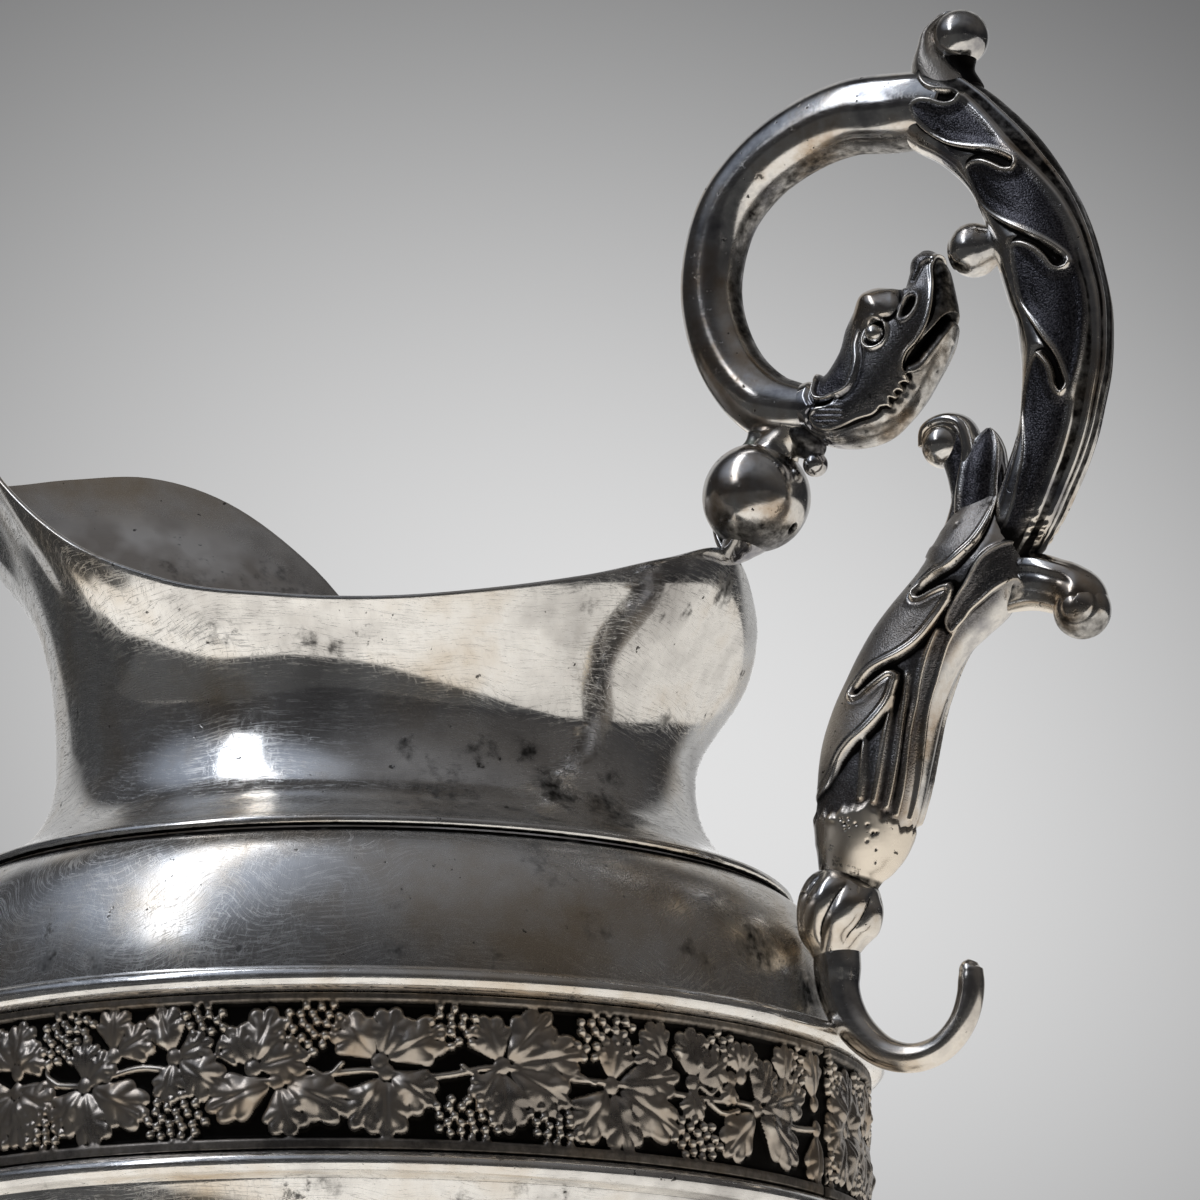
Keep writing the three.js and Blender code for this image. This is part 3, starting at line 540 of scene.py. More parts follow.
# foot: ring on the table, spread trumpet, knop; heights are above the table
foot = {
    "ringRound": (31.5, 1.5, 1.5, 1.5), "ring": [(30, 3), (28, 3), (28, 0), (30, 0)],
    "hem": [(31.5, 3.3), (31.5, 4.1)], "trumpet": [(31.5, 4.3), (31.5, 11.8), (9.5, 10.1), (9.5, 20.3)],
    "top": [(9.0, 20.3), (0.6, 20.3)], "sheet": 0.8, "hammer": 0.05,
    "knopSeat": [(0.6, 20.6), (9.0, 20.6)], "knopRound": (9.5, 23.6, 3.5, 3.0),
    "knopTop": [(9.0, 26.6), (0.6, 26.6)]}
trumpet = bezier(*np.array(foot["trumpet"]), np.linspace(0, 1, 60)[:, None])
footParts = {
    "foot_rim": [arc(*foot["ringRound"], -90, 90, 17), densify(foot["ring"], 1.0)],
    "foot": [densify(foot["hem"], 0.4), trumpet, densify(foot["top"], 1.0)],
    "foot_knop": [densify(foot["knopSeat"], 1.0), arc(*foot["knopRound"], -90, 90, 31),
                  densify(foot["knopTop"], 1.0)]}
footLines = {node: np.concatenate(parts) + (0, tableLevel) for node, parts in footParts.items()}
turnedPiece("foot_rim", footLines["foot_rim"])
turnedPiece("foot", sheetOf(footLines["foot"], foot["sheet"]), foot["hammer"])
turnedPiece("foot_knop", footLines["foot_knop"], closed=False)
print("vessel: neck, shoulder, bowl, beads and foot")


# Vine band: t runs in mm round the band from the seam under the handle, z upwards
band = {
    "ground": 41.45, "back": 41.05, "low": -13.3, "high": -1.15, "around": 42.2, "repeats": 3,
    "cells": 880, "rows": 106, "upperFillet": -1.85, "lowerFillet": -12.42, "filletRise": 0.62,
    "berry": 0.42, "seam": 0.30}
bandLength = 2 * np.pi * band["around"] / band["repeats"]
cellWidth = bandLength / band["cells"]
goldenTurn = 2.39996  # radians from one berry to the next
bandZ = np.linspace(band["low"], band["high"], band["rows"])
# leaves: place of the stalk, then the way in degrees and the length of each lobe
vineLeaves = [
    (10.3, -7.6, [(112, 3.8), (165, 6.2), (212, 6.0), (-48, 4.9)]), (12.2, -5.2, [(60, 2.6), (115, 2.6)]),
    (6.6, -5.6, [(90, 3.3)]), (1.6, -6.0, [(75, 3.8)]), (1.2, -8.0, [(270, 4.2)]),
    (13.4, -5.6, [(-80, 1.9)]), (17.6, -6.4, [(148, 3.7), (86, 3.9), (-92, 2.8)]),
    (20.4, -5.2, [(62, 3.2), (18, 2.8)]),
    (25.5, -7.4, [(98, 3.7), (168, 5.8), (206, 6.4), (252, 5.0), (-55, 4.8)]),
    (34.8, -6.5, [(132, 5.2), (168, 6.2), (66, 3.7), (206, 5.6), (262, 4.6), (-60, 3.3)]),
    (44.5, -6.5, [(46, 4.3), (108, 3.9), (152, 5.2)]), (44.0, -7.3, [(212, 4.0), (268, 4.7), (-60, 4.5)]),
    (52.5, -8.0, [(202, 5.5), (254, 4.0), (-20, 5.3)]), (54.5, -7.0, [(58, 3.4), (108, 4.4), (166, 4.0)]),
    (61.0, -5.9, [(72, 3.8), (160, 3.0), (214, 4.2), (-80, 3.2)]), (66.4, -5.5, [(92, 3.5), (156, 3.5)]),
    (69.0, -7.6, [(206, 5.8), (256, 4.6), (-52, 4.0), (92, 3.1), (142, 3.0)]),
    (76.0, -6.0, [(98, 3.6), (154, 3.0), (46, 3.6)]),
    (76.0, -7.5, [(206, 3.9), (256, 4.2), (-58, 4.5), (-14, 3.8)]),
    (83.2, -7.2, [(88, 4.4), (140, 4.3), (190, 4.4), (240, 4.6), (-62, 4.5), (-12, 4.2), (40, 4.2)])]
# soft swellings between the lobes: t, z, size
vinePillows = [
    (8.6, -7.0, 0.9), (8.8, -8.9, 0.8), (11.6, -8.6, 0.9), (17.2, -5.0, 0.7), (19.6, -4.3, 0.6),
    (23.3, -7.3, 1.0), (20.8, -8.5, 0.7), (24.2, -9.0, 0.7), (27.2, -8.6, 0.8), (31.0, -4.9, 0.8),
    (33.8, -5.2, 0.8), (30.2, -7.7, 0.8), (33.4, -8.7, 0.9), (45.9, -4.4, 0.9), (42.4, -4.9, 0.7),
    (42.6, -8.4, 0.8), (45.2, -8.7, 0.7), (50.5, -9.4, 0.8), (54.6, -9.1, 0.8), (53.6, -5.4, 0.7),
    (58.4, -7.0, 0.8), (62.0, -4.7, 0.7), (66.0, -8.7, 0.8), (69.6, -9.3, 0.8), (75.1, -4.9, 0.7),
    (75.4, -9.0, 0.8), (81.2, -6.2, 0.8), (84.6, -6.0, 0.8), (82.0, -9.1, 0.8)]
# bunches of grapes: t, z, berries, way that the bunch hangs in degrees
vineBunches = [
    (4.8, -3.7, 9, 250), (14.7, -3.2, 7, 200), (17.2, -10.9, 14, 180), (26.2, -3.4, 18, 330),
    (30.3, -10.8, 14, 200), (37.5, -10.9, 16, 190), (38.6, -3.6, 12, 20), (49.8, -3.8, 16, 340),
    (58.6, -3.0, 9, 0), (60.8, -10.8, 16, 180), (70.9, -3.6, 17, 330), (73.0, -10.9, 12, 200),
    (79.4, -3.6, 12, 10), (79.6, -10.9, 14, 190), (86.6, -3.4, 9, 0), (87.6, -11.0, 9, 180)]
vineStem = [
    (0, -7.9), (5, -8.4), (11, -7.4), (17, -7.5), (25, -7.2), (30, -7.1), (35, -6.6), (40, -7.5),
    (46, -7.2), (52, -8.0), (58, -7.6), (64, -6.6), (69, -7.6), (74, -7.2), (80, -7.8), (86, -7.0),
    (88.4, -7.9)]
vineTendrils = [
    [(14.6, -6.2), (15.7, -7.0), (17.0, -6.6), (17.6, -7.6)], [(27, -7.4), (28.6, -6.8), (29.6, -7.4)],
    [(35, -6.8), (36.6, -7.4), (38.0, -6.6)], [(47.4, -6.6), (48.6, -7.6), (50.0, -7.0)],
    [(56, -6.6), (57.4, -5.6), (57.0, -4.4)], [(71.6, -7.4), (72.8, -6.4), (72.4, -5.4)],
    [(12.6, -8.0), (14.4, -8.4), (15.8, -7.8)]]


def press(sheet, t, z, reach, form):
    # raises the sheet to a form given by its offsets from a point; the sheet wraps round at the end of
    # the repeat
    columns = np.arange(math.floor((t - reach) / cellWidth), math.ceil((t + reach) / cellWidth) + 1)
    rows = np.flatnonzero(np.abs(bandZ - z) <= reach)
    place = np.ix_(columns % band["cells"], rows)
    raised = form((columns * cellWidth - t)[:, None], (bandZ[rows] - z)[None, :])
    sheet[place] = np.maximum(sheet[place], raised)


def boss(size, rise, flat=0.0):  # half ball on a low step
    def form(dt, dz):
        away = dt ** 2 + dz ** 2
        return (flat + rise * np.sqrt(np.clip(1 - away / size ** 2, 0, None))) * (away < size ** 2)
    return form


def lobe(way, length):
    # part of a leaf: fan pointing away from the stalk, rounded off by a few round teeth, softly domed,
    # furrowed from the notches between its teeth, creased along its middle and curled up at its rim
    c = math.cos(way)
    s = math.sin(way)
    wide = min(max(0.47 * length, 1.25), 2.2)

    def form(dt, dz):
        u = (dt * c + dz * s) / (0.5 * length)
        v = (dz * c - dt * s) / wide
        fanned = v / (0.5 + 0.5 * smoothStep(-1.0, 0.3, u))
        teeth = np.abs(np.cos(4 * np.arctan2(fanned, u)))
        outer = smoothStep(-0.5, 0.2, u)
        r = np.hypot(u, fanned) / (0.88 + 0.17 * teeth * outer)
        furrow = 0.24 * (1 - teeth) ** 1.5 * outer * smoothStep(0.25, 0.9, r)
        furrow += 0.13 * ridge(v * wide, 0.18) * smoothStep(1.0, 0.6, r)
        curled = 0.16 * ridge(r - 0.84, 0.10) * outer
        return (0.64 - furrow + curled) * (1 + 0.14 * u) * np.clip(1 - r ** 2.4, 0, None) ** 0.6
    return form


def vineSheet():
    # height of the relief over one repeat: the greatest of stem, tendrils, leaves, berries and edge
    # fillets, with swellings added on the leaves
    sheet = np.zeros((band["cells"], band["rows"]))
    for t, z in along(vineStem, 1100)[0]:
        press(sheet, t, z, 0.5, boss(0.32, 0.40))
    for rows in vineTendrils:
        for t, z in along(rows, 70)[0]:
            press(sheet, t, z, 0.4, boss(0.24, 0.46))
    for t, z, lobes in vineLeaves:
        press(sheet, t, z, 0.8, boss(0.8, 0.46))
        for way, length in lobes:
            reach = 1.15 * length
            turnBy = math.radians(way)
            middle = (t + 0.52 * reach * math.cos(turnBy), z + 0.52 * reach * math.sin(turnBy))
            press(sheet, *middle, 0.58 * reach + 0.3, lobe(turnBy, reach))
    leafy = sheet.copy()
    for t, z, size in vinePillows:
        swell = np.zeros_like(sheet)
        press(swell, t, z, 3 * size, lambda dt, dz: ridge(np.hypot(dt, dz), 1.15 * size))
        sheet += 0.42 * swell * smoothStep(0.05, 0.35, leafy)
    for t, z, berries, way in vineBunches:
        # berries sit on a spiral of equal areas, drawn out along the bunch
        n = np.arange(round(1.6 * berries))
        out = band["berry"] * np.sqrt(n + 0.3)
        lengthwise = 1.3 * out * np.cos(n * goldenTurn)
        across = 0.95 * out * np.sin(n * goldenTurn)
        c = math.cos(math.radians(way))
        s = math.sin(math.radians(way))
        for dt, dz in zip(lengthwise * c - across * s, lengthwise * s + across * c):
            press(sheet, t + dt, z + dz, band["berry"], boss(0.96 * band["berry"], 0.46, 0.18))
    fillet = np.maximum(smoothStep(band["upperFillet"] - 0.1, band["upperFillet"] + 0.12, bandZ),
                        smoothStep(band["lowerFillet"] + 0.1, band["lowerFillet"] - 0.12, bandZ))
    return np.maximum(sheet, band["filletRise"] * fillet)


vine = soften(vineSheet(), 1)
vineDirt = np.clip(1 - smoothStep(0.10, 0.30, vine) + 0.75 * crevices(vine, 10, 0.08), 0, 1)
plainEdge = (smoothStep(band["upperFillet"] - 0.3, band["upperFillet"], bandZ)
             + smoothStep(band["lowerFillet"] + 0.3, band["lowerFillet"], bandZ))
vineDirt = np.maximum(vineDirt, 0.5 * plainEdge)
# swellings and berries paler: partly rubbed bright, partly painted highlight
vineWornAndSheen = 0.7 * crevices(-vine, 24, 0.22) * (1 - plainEdge)  # swellings and berries are rubbed bright
for number in range(band["repeats"]):
    cells = np.arange(band["cells"] + 1)
    lift = vine[cells % band["cells"]].copy()
    blackening = vineDirt[cells % band["cells"]].copy()
    worn = np.pad(vineWornAndSheen[cells % band["cells"]], ((0, 0), (0, 2)))
    place = cells * cellWidth + number * bandLength
    fromSeam = np.minimum(place, bandLength * band["repeats"] - place)
    cut = smoothStep(band["seam"], band["seam"] * 2.4, fromSeam)[:, None]
    lift *= cut
    blackening = np.maximum(blackening, 1 - cut)
    # ring of points round the strip's section: front with its relief, then the back
    r = np.concatenate([band["ground"] + lift, np.full((len(cells), 2), band["back"])], 1)
    z = np.concatenate([bandZ, bandZ[[-1, 0]]])
    angle = -(place / band["around"])[:, None]
    strip = np.stack([r * np.cos(angle), r * np.sin(angle), np.broadcast_to(z, r.shape)], 2)
    stripSkin = skin(strip, hollow=np.pad(blackening, ((0, 0), (0, 2)), constant_values=1.0), worn=worn)
    replaced = ["frieze_strip"] if number == 0 else []
    putMesh(f"vine_strip_{number + 1}", stripSkin, struckSilver, "struck_silver", *replaced)
print("vine band: three strips")


# Handle: cast pieces that lie in the plane y = 0
def barGrid(rows, count, sides, flatness=1.0, relief=None):
    # ellipse carried along a curve of x, z and half width; across the jug it is flatness times as wide,
    # or as wide as a fourth column says. A relief is worked out on one half and mirrored: 0 degrees is
    # the edge on the left of the run, which is the outer one on both arms, and -180 the other edge
    line, length = along(rows, count)
    way = np.gradient(line[:, :2], axis=0)
    way /= np.hypot(*way.T)[:, None]
    side = np.stack([-way[:, 1], way[:, 0]], 1)[:, None]
    a = np.linspace(-np.pi, np.pi, sides, endpoint=False)
    half = line[:, 2][:, None]
    across = line[:, 3][:, None] if line.shape[1] > 3 else half * flatness
    shades = {}
    lift = 0.0
    if relief:
        s, b = np.meshgrid(length, -np.arange(sides // 2 + 1) * 360 / sides, indexing="ij")
        mirror = np.abs(np.arange(sides) - sides // 2)
        lift, shades = relief(s, b)
        lift = lift[:, mirror]
        shades = {key: field[:, mirror] for key, field in shades.items()}
        shades["hollow"] = np.clip(shades.get("hollow", 0.0) + crevices(lift, 22, 0.2), 0, 1)
        # raised edges paler: partly rubbed bare, partly painted highlight
        shades["worn"] = np.clip(shades.get("worn", 0.0) + 0.7 * crevices(-lift, 14, 0.16), 0, 1)
    reach = (half + lift) * np.cos(a)
    x = line[:, 0][:, None] + side[..., 0] * reach
    z = line[:, 1][:, None] + side[..., 1] * reach
    y = (across + lift) * np.sin(a)
    return skin(np.stack([x, y, z], 2), **shades)


def ballGrid(x, z, radius, rows=48, cols=80, dents=(), rolled=None, tarnishAndShade=(0.0, 0.0, 1.0)):
    # sphere with its poles across the jug; each dent is a direction in the handle's plane in degrees, its
    # size and depth; rolled is where the spiral groove of a scroll starts on its sides, in degrees; the
    # last argument is the strength of a darkening by height and the heights between which it sets in, as
    # shares of the radius, and that darkening is partly tarnish and partly painted shade
    a = np.linspace(0, np.pi, rows + 2)[1:-1, None]
    b = np.linspace(0, 2 * np.pi, cols, endpoint=False)
    size = np.full((rows, cols), float(radius))
    hollow = tarnishAndShade[0] * smoothStep(tarnishAndShade[1], tarnishAndShade[2], np.sin(a) * np.sin(b))
    for toward, wide, deep in dents:
        away = radius * np.arccos(np.clip(np.sin(a) * np.cos(b - math.radians(toward)), -1, 1))
        size -= deep * smoothStep(wide, 0.6 * wide, away)
        hollow = np.maximum(hollow, smoothStep(1.2 * wide, 0.7 * wide, away))
    if rolled is not None:
        share = np.mod(b - math.radians(rolled), 2 * np.pi) / (2 * np.pi)
        groove = ridge(radius * np.sin(a) - radius * (0.30 + 0.52 * share), 0.17)
        groove = groove * smoothStep(0.1, 0.35, np.abs(np.cos(a)))
        size -= 0.12 * groove
        hollow = np.maximum(hollow, 0.45 * groove)
    r = size * np.sin(a)
    return skin(np.stack([x + r * np.cos(b), size * np.cos(a), z + r * np.sin(b)], 2), hollow=hollow)


def castPiece(node, *skins):  # skins joined as one casting in place of a CAD node
    return putMesh(node + "_cast", join(*skins), castSilver, "cast_silver", node)


edgeKeys = ("wall", "rise", "wire", "dish", "groove")


def leafEdge(gap, wallWide, rise, wire, dish, groove):
    # section of a leaf laid on an arm, by the distance from its edge: ditch outside, wall, wire on the
    # edge, dish inside
    wall = smoothStep(-wallWide, 0.04, gap)
    ditch = (1 - wall) * ridge(np.minimum(gap, 0), 0.75)
    lift = (rise * wall + wire * ridge(gap - 0.13, 0.12) - dish * smoothStep(0.25, 1.2, gap)
            - groove * ditch)
    return lift, wall, ditch


def bump(s, b, place, perDegree, size):  # small round rise at a place along and round an arm
    return np.exp(-(((s - place[0]) ** 2 + ((b - place[1]) * perDegree) ** 2) / size ** 2))


# loop: round bar that runs on inside the leaf sheath
loop = {
    "tarnishAndShade": 0.60,
    "rows": [
        (53.4, 77.0, 3.05), (51.4, 77.5, 3.2), (48.9, 77.6, 3.35), (44.3, 77.8, 3.2), (39.7, 76.5, 3.0),
        (36.0, 74.3, 2.85), (33.2, 71.2, 2.75), (31.7, 66.9, 2.65), (31.5, 63.4, 2.62),
        (32.3, 59.8, 2.65), (34.0, 56.4, 2.72), (35.4, 54.7, 2.8), (37.0, 53.4, 2.82), (38.8, 52.8, 2.6),
        (40.6, 52.5, 2.3), (42.4, 52.5, 1.9)]}


# inner side darkened, where it faces the head and arm: tarnish and painted shade
def loopRelief(s, b):  # smooth, with tarnish that sets in towards the inner side
    return np.zeros_like(s), {"hollow": loop["tarnishAndShade"] * smoothStep(-46, -24, b)}


castPiece("serpent_loop", barGrid(loop["rows"], 280, 64, 1.0, loopRelief))

# upper arm: leaf laid over the outer side, its lobes lapping down the inner side
upperArm = {
    "rows": [
        (48.6, 77.6, 2.5), (50.2, 77.6, 3.2), (52.3, 77.0, 3.65), (54.5, 75.6, 3.6), (56.3, 74.0, 3.55),
        (58.4, 71.6, 3.6), (59.8, 69.2, 3.8), (61.0, 66.5, 4.0), (61.9, 63.7, 4.15), (62.7, 60.8, 4.1),
        (63.3, 58.5, 3.95), (63.5, 56.0, 3.8), (63.5, 53.5, 3.62), (63.2, 51.2, 3.42), (62.8, 48.9, 3.25),
        (62.1, 46.6, 3.1), (61.1, 44.2, 2.95), (60.1, 41.8, 2.8), (58.9, 39.4, 2.5), (57.8, 37.4, 1.8)],
    "perDegree": 0.062, "wall": 0.26, "rise": 0.28, "wire": 0.15, "dish": 0.20, "groove": 0.24}
upperLeaf = [
    (1.8, 25), (1.8, -20), (2.3, -46), (2.7, -59), (3.3, -67), (4.1, -69), (5.0, -63), (5.6, -58),
    (6.1, -61), (6.1, -69), (5.6, -77), (4.3, -81), (3.2, -86), (2.6, -96), (3.0, -106), (3.9, -115),
    (5.3, -121), (6.7, -122), (8.0, -119), (9.2, -111), (10.4, -100), (11.8, -84), (12.8, -75),
    (13.6, -71), (14.1, -76), (13.8, -83), (12.7, -93), (11.6, -103), (10.9, -115), (10.7, -126),
    (11.3, -134), (12.6, -139), (14.2, -140), (15.7, -134), (17.2, -122), (18.6, -108), (19.8, -93),
    (21.0, -78), (22.2, -64), (23.2, -56), (23.9, -62), (23.6, -71), (22.6, -77), (21.4, -86),
    (20.5, -99), (20.2, -110), (21.4, -117), (23.2, -121), (25.0, -125), (26.4, -121), (27.9, -110),
    (29.3, -98), (30.6, -85), (31.9, -75), (33.1, -68), (33.8, -73), (33.2, -81), (31.9, -88),
    (30.9, -98), (30.3, -109), (30.9, -118), (32.4, -126), (34.4, -131), (35.8, -130), (37.2, -122),
    (38.6, -113), (40.0, -106), (42.0, -101), (44.5, -99), (50.0, -97), (50.0, 25), (1.8, 25)]
upperEnds = [(6.1, -64), (13.9, -73), (23.7, -59), (33.6, -70)]
# long ridges on the outer side: height, width, line
upperFlutes = [
    (0.30, 0.42, [
        (6.6, -58), (9.0, -62), (11.4, -66), (13.8, -61), (16.0, -51), (18.1, -41), (20.4, -34),
        (23.1, -31), (28.0, -29), (34.0, -29), (40.0, -27), (48.0, -24)]),
    (0.16, 0.26, [
        (5.0, -30), (10.0, -36), (14.0, -32), (18.0, -19), (22.0, -14), (28.0, -13), (36.0, -12),
        (48.0, -10)]),
    (0.20, 0.34, [
        (23.6, -50), (26.0, -47), (29.0, -50), (32.7, -58), (36.5, -54), (40.6, -52), (48.0, -52)])]


def upperRelief(s, b):
    # leaf edge by the distance from its outline, plus the highest of the long ridges, beads at the ends
    # of the slits and a rippled solder scar
    k = upperArm["perDegree"]
    gap = lineGap(s, b * k, np.array(upperLeaf) * (1, k), True, 5)
    lift, wall, ditch = leafEdge(gap, *(upperArm[key] for key in edgeKeys))
    faded = smoothStep(47, 41, s)
    ribs = np.zeros_like(s)
    for height, wide, rows in upperFlutes:
        ribs = np.maximum(ribs, height * ridge(lineGap(s, b * k, np.array(rows) * (1, k)), wide))
    lift = (lift + ribs * wall) * faded
    for place in upperEnds:
        lift += 0.22 * bump(s, b, place, k, 0.34)
    # where lobes give way to flutes
    fold = np.interp(s, [0, 6, 12, 16, 20, 28, 34, 48], [-50, -60, -68, -54, -40, -40, -56, -56])
    matt = wall * smoothStep(0.28, 0.45, gap) * smoothStep(4, -10, b - fold)
    scar = bump(s, b, (44.6, -38), 0.06, 1.3)  # place where the castings were soldered together
    lift += 0.10 * scar * np.sin(s * 7 + b / 6)
    # tarnish stays between the long ridges
    flutes = wall * smoothStep(-10, 4, b - fold) * smoothStep(0.16, 0.04, ribs)
    # painted shade: the arm's end is darkened for the recess where it meets the spur, except on the
    # solder scar; the rest is tarnish in the ditches and between the ridges
    hollow = 0.55 * ditch * faded + 0.70 * flutes + 0.8 * smoothStep(43.6, 46, s) * (1 - scar)
    return lift, {"hollow": hollow, "matt": matt, "worn": scar}


castPiece("upper_leaf_arm", barGrid(upperArm["rows"], 400, 230, 0.85, upperRelief))

# lower arm: leaves lapping up from the inner side, another across the face, fluted back, plain knob at
# the foot
lowerArm = {
    "rows": [
        (57.3, 45.0, 0.15), (57.0, 43.6, 1.1), (56.6, 41.8, 2.5), (56.3, 40.0, 3.55), (56.0, 38.2, 4.25),
        (55.2, 36.2, 4.35), (53.9, 34.8, 4.05), (52.6, 33.6, 3.9), (51.3, 32.2, 3.95), (50.2, 30.7, 4.1),
        (49.2, 28.9, 4.25), (48.4, 27.1, 4.4), (47.7, 25.3, 4.6), (47.0, 23.0, 4.75), (46.5, 21.0, 4.8),
        (46.1, 19.2, 4.7), (45.6, 17.4, 4.5), (45.2, 15.8, 4.15), (44.7, 14.3, 3.55), (44.3, 13.1, 2.85),
        (44.1, 12.2, 2.4)],
    "perDegree": 0.072, "wall": 0.42, "rise": 0.40, "wire": 0.07, "dish": 0.14, "groove": 0.16}
# blow holes in the casting: along, degrees round, size
knobPits = [
    (31.4, -97, 0.11), (31.7, -92, 0.16), (31.3, -88, 0.10), (31.9, -86, 0.08), (31.6, -79, 0.12),
    (32.2, -90, 0.08), (31.5, -66, 0.12), (32.6, -62, 0.09), (32.0, -58, 0.15), (31.9, -54, 0.10),
    (33.0, -48, 0.10), (34.0, -40, 0.12)]
lowerLobes = [
    (-2, -215), (-2, -45), (1.2, -52), (2.6, -61), (3.9, -68), (5.0, -74), (6.1, -81), (7.1, -90),
    (8.4, -100), (9.7, -110), (10.9, -118), (12.0, -122), (12.9, -118), (12.6, -110), (11.6, -103),
    (10.6, -96), (10.0, -88), (10.5, -82), (11.7, -77), (13.2, -75), (14.6, -75), (16.0, -79),
    (17.3, -88), (18.4, -101), (19.3, -112), (20.4, -119), (21.4, -122), (21.6, -114), (20.8, -107),
    (19.6, -97), (18.7, -87), (18.7, -80), (19.9, -76), (21.2, -76), (22.6, -81), (23.9, -89),
    (25.1, -100), (26.4, -110), (27.6, -117), (28.6, -125), (29.5, -140), (29.5, -215), (-2, -215)]
crossLeaf = [
    (5.6, 20), (5.6, -26), (5.8, -42), (6.2, -56), (6.9, -69), (7.8, -75), (9.0, -77), (10.4, -76),
    (11.6, -72), (12.8, -61), (13.0, -52), (11.6, -50), (10.0, -52), (9.0, -47), (8.3, -36), (7.8, -18),
    (7.4, 20), (5.6, 20)]
lowerRidges = [
    [
        (7.8, -18), (8.3, -36), (9.0, -47), (10.0, -52), (11.6, -50), (13.6, -45), (15.6, -38),
        (17.7, -33), (20.0, -31), (23.4, -25), (27.0, -19), (30.0, -16)],
    [(13.6, -67), (16.5, -58), (18.4, -53), (20.2, -48), (23.0, -45), (27.4, -39), (30.0, -37)],
    [(18.4, -69), (20.2, -62), (22.2, -57), (25.0, -53), (29.6, -51)],
    [(20.6, -73), (22.7, -71), (25.5, -68), (29.4, -66)], [(24.6, -90), (27.0, -84), (29.4, -81)]]
lowerEnds = [(4.6, -112), (12.6, -119), (21.5, -119), (31.5, -110)]


def lowerRelief(s, b):
    # leaf edges by the distance from their outlines, ridges between them on the back, then a plain knob
    # past a ragged edge, less its pits
    k = lowerArm["perDegree"]
    gap = lineGap(s, b * k, np.array(lowerLobes) * (1, k), True, 5)
    lift, wall, ditch = leafEdge(gap, *(lowerArm[key] for key in edgeKeys))
    lift -= 0.10 * ridge(gap - 0.44, 0.11)
    lift *= 1 - smoothStep(24.5, 29, s) * smoothStep(-100, -118, b)  # last leaf dies into the inner side
    cross = lineGap(s, b * k, np.array(crossLeaf) * (1, k), True)
    onCross = smoothStep(-0.2, 0.05, cross) * (1 - wall)
    crossEdge = 0.2 * ridge(cross - 0.1, 0.14) - 0.1 * smoothStep(0.3, 1.0, cross)
    lift += onCross * 0.16 + (1 - wall) * crossEdge
    ribs = np.zeros_like(s)
    for rows in lowerRidges:
        ribs = np.maximum(ribs, ridge(lineGap(s, b * k, np.array(rows) * (1, k)), 0.23))
    between = (1 - wall) * (1 - onCross) * smoothStep(6, 9, s)
    lift += between * (0.34 * ribs - 0.2)
    edge = np.interp(b, [-180, -142, -101, -88, -79, -62, -44, -20, 0],
                     [31.6, 31.6, 31.1, 30.5, 30.0, 30.2, 30.7, 31.2, 31.1])
    ragged = 0.22 * np.sin(b * 0.21) + 0.14 * np.sin(b * 0.47 + 1)
    knob = smoothStep(-0.6, 0.35, s - edge - ragged)
    lift = lift * (1 - knob) + knob * 0.06
    pits = np.zeros_like(s)
    for along0, round0, size in knobPits:
        pits = np.maximum(pits, bump(s, b, (along0, round0), k, size))
    lift -= 0.16 * pits
    for place in lowerEnds:
        lift += 0.28 * bump(s, b, place, k, 0.38)
    matt = np.maximum(wall * smoothStep(0.5, 0.7, gap),
                      (between + onCross) * (1 - ribs) * smoothStep(-20, -40, b))
    matt = matt * (1 - knob)
    hollow = (0.5 * ditch * (1 - onCross) * smoothStep(1, 3, s)
              + 0.3 * between * (1 - ribs) * smoothStep(-30, -50, b)) * (1 - knob)
    # painted shade at the arm's end for the gap above the bud; black in the blow holes
    hollow += 0.6 * smoothStep(35.2, 35.8, s) + 0.9 * pits
    paler = knob * smoothStep(-134, -112, b) * (1 - pits)
    # leaf faces made paler: wear and a painted reflection
    paler = paler + 0.24 * wall * smoothStep(0.4, 0.9, gap) * (1 - knob)
    return lift, {"hollow": np.clip(hollow, 0, 1), "matt": 0.85 * matt, "worn": paler}


castPiece("lower_leaf_arm", barGrid(lowerArm["rows"], 360, 260, 0.8, lowerRelief))

# serpent's head: sections from crown to throat, with half depths across the jug
headRows = np.array([
    [38.6, 54.2, 38.8, 51.0, 1.6], [40.0, 54.9, 40.6, 50.2, 2.3], [41.5, 55.2, 42.8, 49.2, 2.7],
    [42.7, 55.6, 45.0, 48.9, 2.9], [43.8, 57.1, 47.6, 49.3, 3.1], [44.4, 59.1, 50.0, 51.0, 3.2],
    [45.5, 60.4, 52.3, 54.2, 3.2], [46.7, 61.5, 53.7, 57.2, 2.9], [48.1, 61.95, 54.0, 59.8, 2.4],
    [49.3, 61.5, 53.6, 62.0, 1.9], [50.1, 63.0, 53.1, 63.6, 1.5], [50.4, 64.4, 52.4, 64.5, 1.1],
    [51.1, 65.05, 51.6, 65.05, 0.3]])
serpent = {
    "count": 300, "sides": 260, "brow": 0.50, "face": 0.26, "mouth": 0.95, "eye": (48.0, 57.5, 0.74),
    "nostril": (50.78, 59.7), "dome": (47.8, 60.2, 1.6)}
browLine = [
    (41.7, 53.4), (42.1, 52.7), (43.0, 52.4), (44.2, 52.6), (45.5, 53.1), (46.2, 54.2), (46.5, 55.6),
    (46.4, 57.0), (46.8, 58.05), (47.5, 58.55), (48.5, 58.8), (49.3, 59.0), (49.8, 59.7), (49.8, 60.6),
    (49.5, 61.6), (48.2, 64.5), (44.0, 64.5), (41.6, 60.0), (41.4, 57.0), (41.4, 55.4), (41.7, 54.4),
    (41.7, 53.4)]
